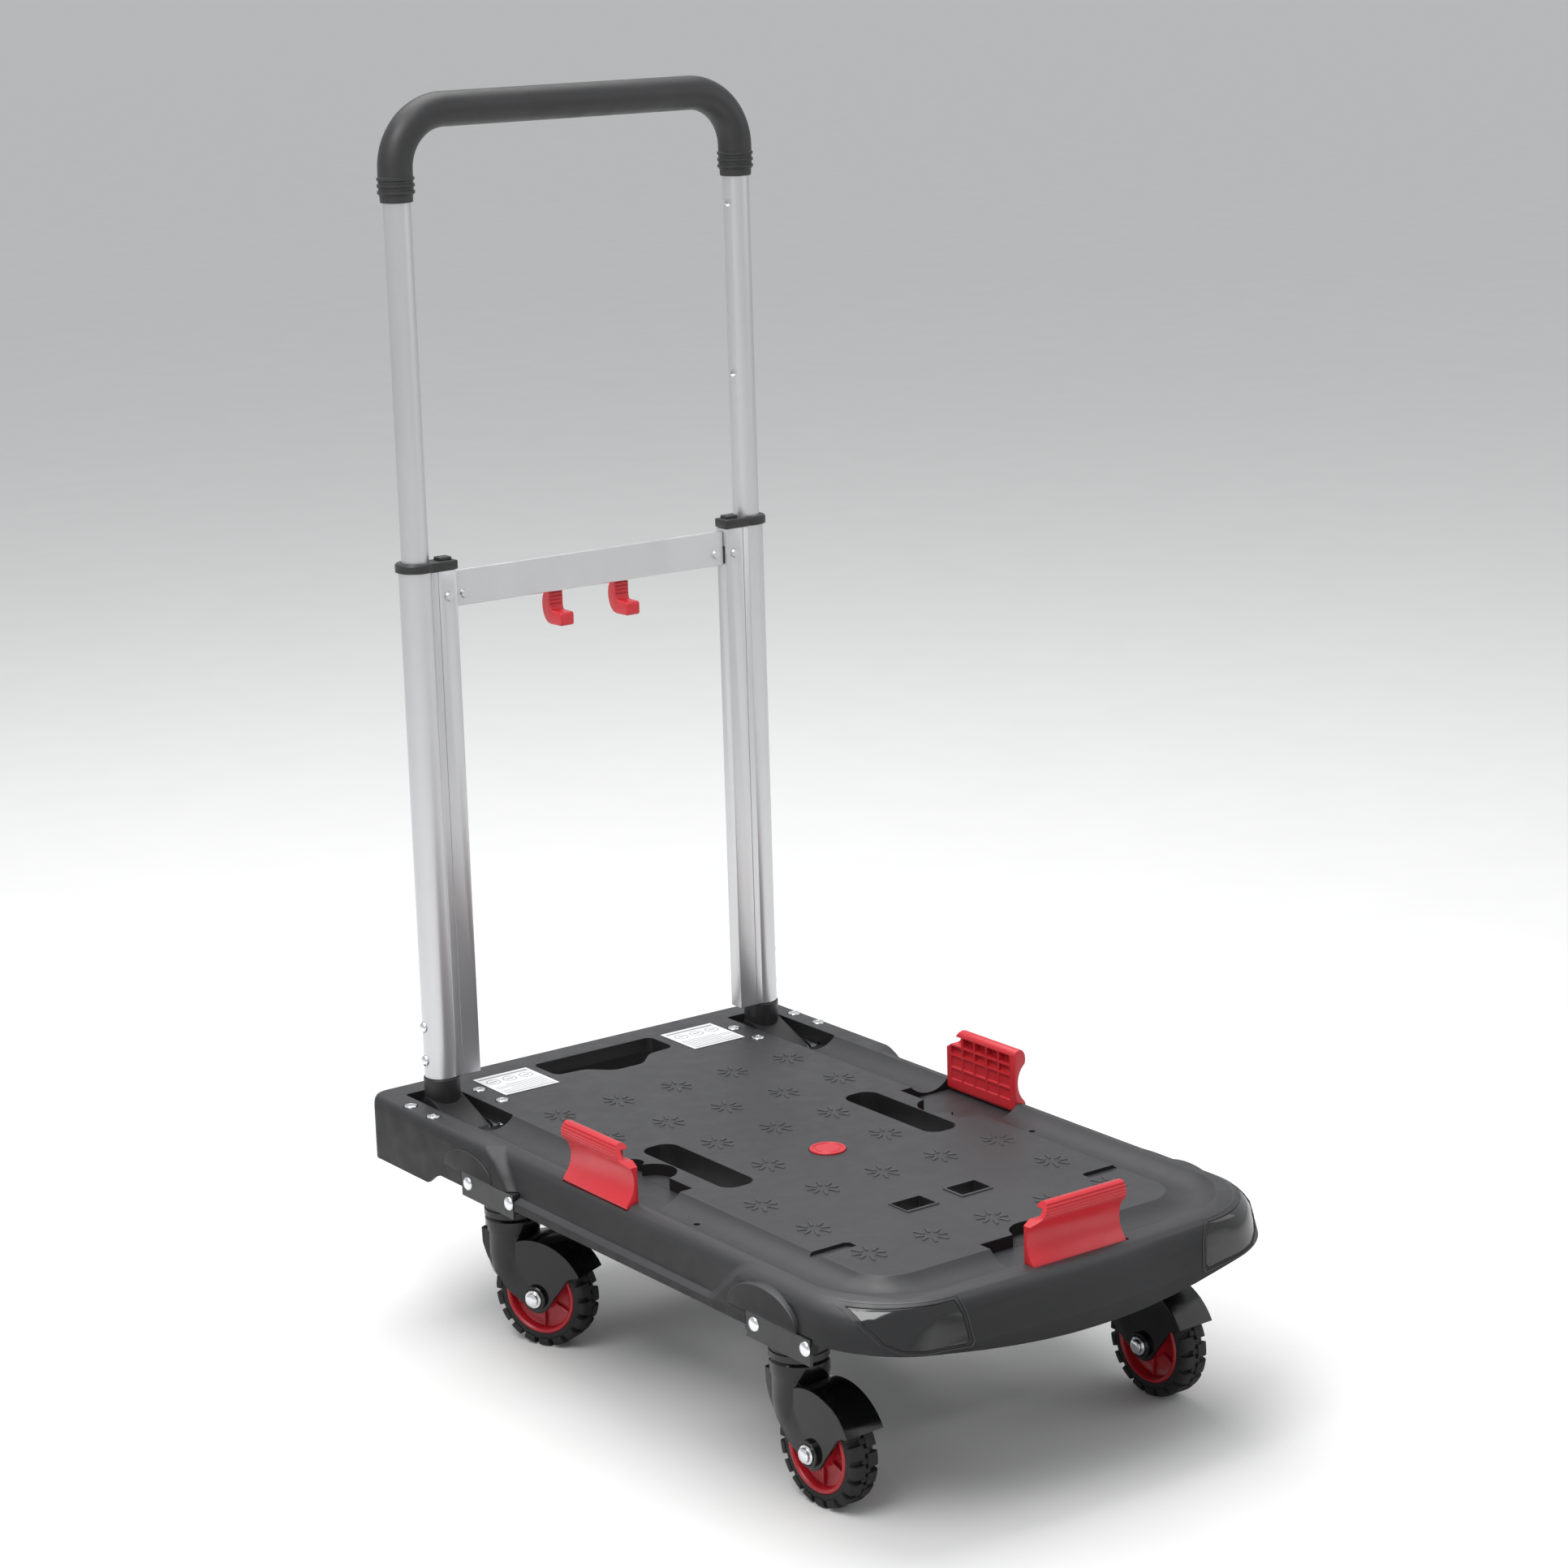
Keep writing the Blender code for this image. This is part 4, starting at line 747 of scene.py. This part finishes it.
# Per caster row: the caster's own distance from the rear, then the arch's centre, half length and rise.
CASTER_ROWS = ((0.1481, 0.1555, 0.0365, 0.0195), (0.5399, 0.5565, 0.0425, 0.0237))
CORNER_FACE = [(0.1200, -0.0030), (0.1150, -0.0144), (0.1122, -0.0325), (0.1145, -0.0355), (0.1310, -0.0342),
               (0.1480, -0.0334), (0.1645, -0.0310), (0.1755, -0.0250), (0.1838, -0.0125), (0.1862, -0.0030)]
CORNER_MIDDLE = (0.149, -0.019)
INSERT_DEPTH = 0.0022
FRONT_REACH = 0.72
CORNER_START = 0.622
DISC_AFT = 0.3640
GROOVE_X = 0.1635
SCREWS = ((0.1300, 0.0545), (0.1300, 0.0905), (0.1955, 0.0540), (0.1955, 0.0895))
# Place, turn and trimmed end of the left, right and front stop's well.
WELLS = (((-0.1865, aft(0.3240)), -math.pi / 2, 1), ((0.1865, aft(0.3310)), math.pi / 2, 1),
         ((0.0025, aft(0.6585)), 0.0, -1))
WELL_HALF = 0.0450


def deck_ring(row, inset):
    """One level's outline, drawn in by inset, with eased changes of width."""
    _, rear_w, mid_w, front_w, corner, centre, radius, back, start, end, leave, meet = row
    half = [(rear_w - inset, aft(back + inset))]
    for k in range(RAMP_STEPS + 1):
        t = k / RAMP_STEPS
        ease = t * t * (3 - 2 * t)
        along_y = start + (end - start) * (0.25 + 0.5 * t)
        half.append((rear_w + (mid_w - rear_w) * ease - inset, aft(along_y)))
    for k in range(RAMP_STEPS + 1):
        t = k / RAMP_STEPS
        ease = t * t * (3 - 2 * t)
        along_y = leave + (meet - leave) * (0.25 + 0.5 * t)
        half.append((mid_w + (front_w - mid_w) * ease - inset, aft(along_y)))
    half.append((front_w - inset, aft(corner - inset)))
    radii = [0.012] + [0] * (len(half) - 2) + [radius - inset]
    points = half + [(0, aft(centre - inset))] + [(-x, y) for x, y in reversed(half)]
    return bend(points, radii + [0.5] + radii[::-1], 12, closed=True)


def deck_loft(bm, rows, inset):
    """A closed loft through the rows' outlines."""
    rings = []
    for row in rows:
        rings.append([bm.verts.new((p[0], p[1], up(row[0]))) for p in deck_ring(row, inset)])
    for ring, following in zip(rings, rings[1:]):
        for k in range(len(ring)):
            n = (k + 1) % len(ring)
            bm.faces.new((ring[k], ring[n], following[n]))
            bm.faces.new((ring[k], following[n], following[k]))
    bm.faces.new(rings[0])
    bm.faces.new(rings[-1])


def flat_plate(outline, low, high, bevel=0.0):
    return shape(prism, outline, (up(low), up(high)), FLAT, bevel)


def rounded_rect(x, y, radius, steps=8):
    (x0, x1), (y0, y1) = sorted(x), sorted(y)
    corners = [(x0, y0), (x1, y0), (x1, y1), (x0, y1)]
    return [tuple(p)[:2] for p in bend(corners, [radius] * 4, steps, closed=True)]


def skirt_steps():
    """Hollows the deck and trims its skirt: level along the sides, arched under the front."""
    side_line = [(0.0895, -0.0548), (0.1005, -0.0470), (0.112, -0.0425), (0.620, -0.0405), (0.642, -0.0430),
                 (0.652, -0.0548), (0.652, -0.08), (0.0895, -0.08)]
    side_trim = shape(prism, [(aft(y), up(z)) for y, z in side_line], (-0.3, 0.3), Matrix())
    half = [(-0.2500, -0.0330), (-0.1980, -0.0315), (-0.1870, -0.0322), (-0.1750, -0.0334),
            (-0.1620, -0.0348), (-0.1500, -0.0364), (-0.1250, -0.0398), (-0.1000, -0.0430),
            (-0.0750, -0.0453), (-0.0500, -0.0467), (-0.0250, -0.0474)]
    front_line = half + [(0.0, -0.0475)] + [(-x, z) for x, z in half[::-1]] + [(0.25, -0.09), (-0.25, -0.09)]
    front_trim = shape(prism, [(x, up(z)) for x, z in front_line], (aft(FRONT_REACH), aft(0.6155)), FACING)
    return [("DIFFERENCE", tool) for tool in (shape(deck_loft, HOLLOW, 0.0), side_trim, front_trim)]


def groove_step():
    """The shallow round-bottomed groove inside the rim."""
    corners = [(-GROOVE_X, aft(0.118), 0), (-GROOVE_X, aft(0.636), 0), (GROOVE_X, aft(0.636), 0),
               (GROOVE_X, aft(0.118), 0)]
    path = bend(corners, [0, 0.050, 0.050, 0], 14, closed=False)
    return "DIFFERENCE", shape(wire_along, [(p[0], p[1], up(0.0187)) for p in path], 0.0267, 64)


def hand_hole_step():
    half = [(0.0600, 0.0270), (0.0600, 0.0640), (0.0330, 0.0660), (0.0140, 0.0850)]
    corners = [(-half[0][0], aft(half[0][1]))] + [(x, aft(y)) for x, y in half]
    corners += [(-x, aft(y)) for x, y in half[:0:-1]]
    edge = bend(corners, [0.006, 0.006, 0.008, 0.015, 0.015, 0.015, 0.015, 0.008], 8, closed=True)
    return "DIFFERENCE", flat_plate([tuple(p)[:2] for p in edge], -0.05, 0.05)


def side_steps(m):
    """One side's strap slot, latch frame, hinge pocket, recess, drain, screw seats and arches."""
    wall = rounded_rect((m * 0.0820, m * 0.1175), (aft(0.3915), aft(0.2655)), 0.014)
    slot = rounded_rect((m * 0.0845, m * 0.1150), (aft(0.3890), aft(0.2680)), 0.012)
    frame_edge = rounded_rect((m * 0.0105, m * 0.0415), (aft(0.5190), aft(0.4940)), 0.0016, 4)
    hole_edge = rounded_rect((m * 0.0127, m * 0.0403), (aft(0.5165), aft(0.4965)), 0.0010, 4)
    pocket = rounded_rect((m * 0.1435, m * 0.1835), (aft(0.1305), aft(0.0245)), 0.0030, 4)
    recess = [(m * x, aft(y)) for x, y in ((0.1120, 0.5485), (0.1120, 0.5400), (0.1150, 0.5375),
                                           (0.1460, 0.5375), (0.1490, 0.5395), (0.1490, 0.5485))]
    drain_at = along((m * GROOVE_X, aft(0.4180), DECK_TOP), (0, 0, 1))
    steps = [
        ("UNION", flat_plate(wall, -0.0300, -0.0060)),
        ("DIFFERENCE", flat_plate(slot, -0.05, 0.05)),
        ("UNION", flat_plate(frame_edge, -0.0040, 0.0010, 0.0005)),
        ("DIFFERENCE", flat_plate(hole_edge, -0.05, 0.05)),
        ("DIFFERENCE", flat_plate(pocket, -0.05, 0.05)),
        ("DIFFERENCE", flat_plate(recess, -0.0030, 0.05)),
        ("DIFFERENCE", shape(lathe, [(-0.03, 0.0025), (0.01, 0.0025)], drain_at, steps=20)),
    ]
    for x, y in SCREWS:
        seat_at = along((m * x, aft(y), DECK_TOP), (0, 0, 1))
        steps.append(("DIFFERENCE", shape(lathe, [(-0.0018, 0.0060), (0.02, 0.0060)], seat_at, steps=28)))
    for caster, centre, reach, rise in CASTER_ROWS:
        arch = [(aft(centre) + reach * math.cos(a), up(-0.0300) + rise * math.sin(a))
                for a in (math.pi * k / 28 for k in range(29))]
        steps.append(("UNION", shape(prism, arch, sorted((m * 0.1960, m * 0.2055)), Matrix(), 0.0012)))
        notch = shape(box, sorted((m * 0.1860, m * 0.2200)), (aft(caster + 0.0750), aft(caster - 0.0035)),
                      (up(-0.08), up(-0.0290)))
        steps.append(("DIFFERENCE", notch))
    corner = shape(prism, [(m * x, up(z)) for x, z in CORNER_FACE], (aft(FRONT_REACH), aft(0.6215)), FACING)
    steps.append(("DIFFERENCE", combine(corner, [("DIFFERENCE", shape(deck_loft, OUTER, INSERT_DEPTH))])))
    return steps


def corner_region(m, wide, tall):
    """A prism from the front through the corner insert's outline, scaled about its middle."""
    x0, z0 = CORNER_MIDDLE
    outline = [(m * (x0 + wide * (x - x0)), up(z0 + tall * (z - z0))) for x, z in CORNER_FACE]
    return shape(prism, outline, (aft(FRONT_REACH), aft(CORNER_START)), FACING)


def skin(low, high, *steps):
    """The layer of the deck's surface between two insets, after the given steps."""
    return combine(shape(deck_loft, OUTER, low), [*steps, ("DIFFERENCE", shape(deck_loft, OUTER, high))])


def well_steps(centre, turn_by, trim_end):
    """The well that a stop folds into, with the room for its pivot and the two finger scoops."""
    seat = Matrix.Translation((*centre, up(-0.0045))) @ Matrix.Rotation(turn_by, 4, "Z")
    across = (-WELL_HALF, WELL_HALF)
    tools = [shape(box, across, (-0.0053, 0.0535), (-0.0055, 0.03), matrix=seat),
             shape(box, across, (-0.0085, 0.0), (-0.0003, 0.03), matrix=seat),
             shape(lathe, [(-0.0485, 0.0022), (0.0485, 0.0022)], seat, steps=20)]
    for x, y, radius in ((-trim_end * 0.006, 0.0505, 0.0200), (-trim_end * 0.034, 0.0515, 0.0090)):
        scoop = seat @ Matrix.Translation((x, y, 0)) @ UPWARD
        tools.append(shape(lathe, [(-0.0053, radius), (0.03, radius)], scoop, steps=48))
    return [("DIFFERENCE", tool) for tool in tools]


def cell_step():
    """The open cells under the deck, left out where a well, slot, disc or frame comes down through them."""
    cells = bmesh.new()
    for column in range(6):
        for line in range(11):
            x, y = -0.1125 + 0.045 * column, 0.155 + 0.043 * line
            blocked = (
                (abs(abs(x) - 0.10) < 0.035 and 0.25 < y < 0.41) or (abs(x) < 0.05 and 0.47 < y < 0.54)
                or (abs(x) < 0.03 and 0.34 < y < 0.39) or (abs(x) > 0.1 and (0.25 < y < 0.40 or y > 0.50))
                or (abs(x) < 0.08 and y > 0.56)
            )
            if not blocked:
                box(cells, (x - 0.02125, x + 0.02125), (aft(y + 0.02025), aft(y - 0.02025)),
                    (up(-0.0235), up(-0.0035)))
    return "DIFFERENCE", cells


cuts = [*skirt_steps(), groove_step(), hand_hole_step()]
for side, m in SIDES:
    cuts += side_steps(m)
    gloss = skin(0.0002, 0.0019, ("INTERSECT", corner_region(m, 0.990, 0.975)))
    insert = piece(f"corner_gloss_{side}", gloss, "gloss", "deck", 35)
    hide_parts(f"corner_insert_{side}")
    ridge = skin(-0.0005, 0.0006, ("INTERSECT", corner_region(m, 1.110, 1.160)),
                 ("DIFFERENCE", corner_region(m, 1.090, 1.125)))
    piece(f"corner_ridge_{side}", ridge, "marks", "deck", 35)
for centre, turn_by, trim_end in WELLS:
    cuts += well_steps(centre, turn_by, trim_end)
disc_at = along((0, aft(DISC_AFT), 0), (0, 0, 1))
cuts.append(("DIFFERENCE", shape(lathe, [(up(-0.0012), 0.0150), (up(0.01), 0.0150)], disc_at, steps=64)))
cuts.append(cell_step())
deck = combine(shape(deck_loft, OUTER, 0.0), cuts)
deck_body = piece("deck_body", deck, "deck", "deck", 32)
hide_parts("deck_shell")

# ---- deck details
FULL_ROW = (0.0, 0.0575, 0.115)
BURST_ROWS = {0.155: FULL_ROW, 0.227: FULL_ROW, 0.295: (0.0, 0.0575), 0.364: (0.0575,), 0.434: FULL_ROW,
              0.500: (0.115,), 0.567: FULL_ROW}
BURST_RAYS = 8
LABEL_TOP = up(0.0008)
LABEL_X = (0.0715, 0.1190)
INK = 0.0001
RING_INK = 0.00012


def build_bursts():
    """The raised bursts of the deck's top: eight short ribs round each centre, the outermost ones longer."""
    bm = bmesh.new()
    for distance, columns in BURST_ROWS.items():
        for x in sorted({sign * column for column in columns for sign in (-1, 1)}):
            for k in range(BURST_RAYS):
                angle = math.tau * (k + 0.5) / BURST_RAYS
                ray = Matrix.Translation((x, aft(distance), DECK_TOP)) @ Matrix.Rotation(angle, 4, "Z")
                outer = 0.0152 if k % 4 in (0, 3) else 0.0128
                rib = [(0.0052, -0.0004), (outer, -0.0004), (outer - 0.0005, 0.0007), (0.0057, 0.0007)]
                prism(bm, rib, (-0.0012, 0.0012), ray, 0.0003, 2)
    return bm


def build_screws(m):
    head = [(-0.0020, 0.0052), (0.0002, 0.0054), (0.0009, 0.0050), (0.0014, 0.0036), (0.0015, 0.0022),
            (0.0006, 0.0018), (0.0006, 0.0)]
    bm = bmesh.new()
    for x, y in SCREWS:
        lathe(bm, head, along((m * x, aft(y), up(0.0)), (0, 0, 1)), steps=28)
    return bm


def build_label_marks(m):
    """The label's print: a bar at the top and bottom, three ringed marks and six plain lines, no letters."""
    inner, outer = LABEL_X
    bm = bmesh.new()
    raised = (LABEL_TOP - INK, LABEL_TOP + RING_INK)
    for low, high in ((0.0345, 0.0372), (0.0785, 0.0800)):
        box(bm, sorted((m * inner, m * outer)), (aft(high), aft(low)), raised)
    for k in range(3):
        x = inner + 0.0079 + 0.0160 * k
        ring = [(-INK, 0.0054), (RING_INK, 0.0054), (RING_INK, 0.0062), (-INK, 0.0062)]
        lathe(bm, ring, along((m * x, aft(0.0470), LABEL_TOP), (0, 0, 1)), steps=28, closed=True)
        box(bm, sorted((m * (x - 0.0032), m * (x + 0.0032))), (aft(0.0478), aft(0.0462)), raised)
    for k in range(6):
        y = 0.0590 + 0.0032 * k
        reach = outer if k % 3 else outer - 0.0120
        box(bm, sorted((m * inner, m * reach)), (aft(y + 0.0009), aft(y)), (LABEL_TOP - INK, LABEL_TOP + INK))
    return bm


piece("grip_bursts", build_bursts(), "marks", "deck", 40)
disc_stations = [(-0.0009, 0.0143), (0.0008, 0.0146), (0.0014, 0.0140), (0.0014, 0.0122), (0.0007, 0.0118),
                 (0.0007, 0.0100), (0.0013, 0.0095), (0.0014, 0.0001)]
disc = shape(lathe, [(up(height), radius) for height, radius in disc_stations], disc_at, steps=72)
deck_disc = piece("deck_disc", disc, "red", "deck", 25)
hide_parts("centre_disc")
for side, m in SIDES:
    piece(f"deck_screws_{side}", build_screws(m), "zinc", "deck", 30)
    piece(f"label_marks_{side}", build_label_marks(m), "ink", "deck", 30)

# ---- looks of the CAD nodes left in view
SLOT_LOOK = {
    "deck_plastic": "deck", "insert_gloss": "gloss", "red_plastic": "red", "hub_plastic": "hub",
    "label_paper": "label", "zinc_steel": "zinc", "black_steel": "steel", "fork_plastic": "fork",
    "tyre_rubber": "tyre", "alloy": "alloy", "black_plastic": "black",
}
node_look = {part["node"]: SLOT_LOOK[part["material_slot"]] for part in frame["record"]["subparts"]}
for name, node in NODES.items():
    node.data.materials.clear()
    node.data.materials.append(MAT[node_look[name]])
    node.data.shade_smooth()
    node.data.set_sharp_from_angle(angle=math.radians(32))

# ---- floor, light and camera
FLOOR_HALF = 60.0
floor_finish = surface("floor_finish", (0.80, 0.80, 0.79), 0.70, grain=60, grain_depth=0.00005, mottle=0.01,
                       specular=0.2)
floor_bm = bmesh.new()
bmesh.ops.create_grid(floor_bm, x_segments=1, y_segments=1, size=FLOOR_HALF)
floor_mesh = bpy.data.meshes.new("floor")
floor_bm.to_mesh(floor_mesh)
floor_bm.free()
floor = bpy.data.objects.new("floor", floor_mesh)
bpy.context.scene.collection.objects.link(floor)
floor_mesh.materials.append(floor_finish)


def soft_light(name, place, aim, width, height, power, colour=(1, 1, 1)):
    data = bpy.data.lights.new(name, "AREA")
    data.shape = "RECTANGLE"
    data.size = width
    data.size_y = height
    data.energy = power
    data.color = colour
    lamp = bpy.data.objects.new(name, data)
    lamp.location = place
    lamp.rotation_euler = (Vector(aim) - Vector(place)).to_track_quat("-Z", "Y").to_euler()
    bpy.context.scene.collection.objects.link(lamp)
    return lamp


key = soft_light("key_light", (-1.5, -0.6, 2.6), (0, 0, 0.3), 1.6, 1.6, 46)
fill = soft_light("fill_light", (2.2, -1.6, 1.6), (0, 0, 0.3), 2.2, 1.6, 9)
top = soft_light("top_light", (0.1, 0.9, 3.0), (0, 0, 0.2), 2.2, 2.2, 62)

world = bpy.data.worlds.new("studio")
world.use_nodes = True
backdrop = world.node_tree.nodes["Background"]
backdrop.inputs["Color"].default_value = (0.93, 0.94, 0.96, 1)
backdrop.inputs["Strength"].default_value = 0.62
bpy.context.scene.world = world

camera_data = bpy.data.cameras.new("camera")
camera_data.lens = 84.895
camera_data.sensor_width = 36
camera_data.sensor_fit = "HORIZONTAL"
camera = bpy.data.objects.new("camera", camera_data)
# The camera's own axes, from fitting it to points of the photograph.
right = Vector((0.80639034, -0.59072537, -0.02789549))
upward = Vector((0.15965551, 0.17204001, 0.97206602))
forward = Vector((0.56942492, 0.78831832, -0.23304397))
turned = Matrix((right, upward, -forward)).transposed().to_4x4()
camera.matrix_world = Matrix.Translation((-1.63540, -2.23849, 1.13688)) @ turned
bpy.context.scene.collection.objects.link(camera)
bpy.context.scene.camera = camera
bpy.context.scene.view_settings.view_transform = "Standard"
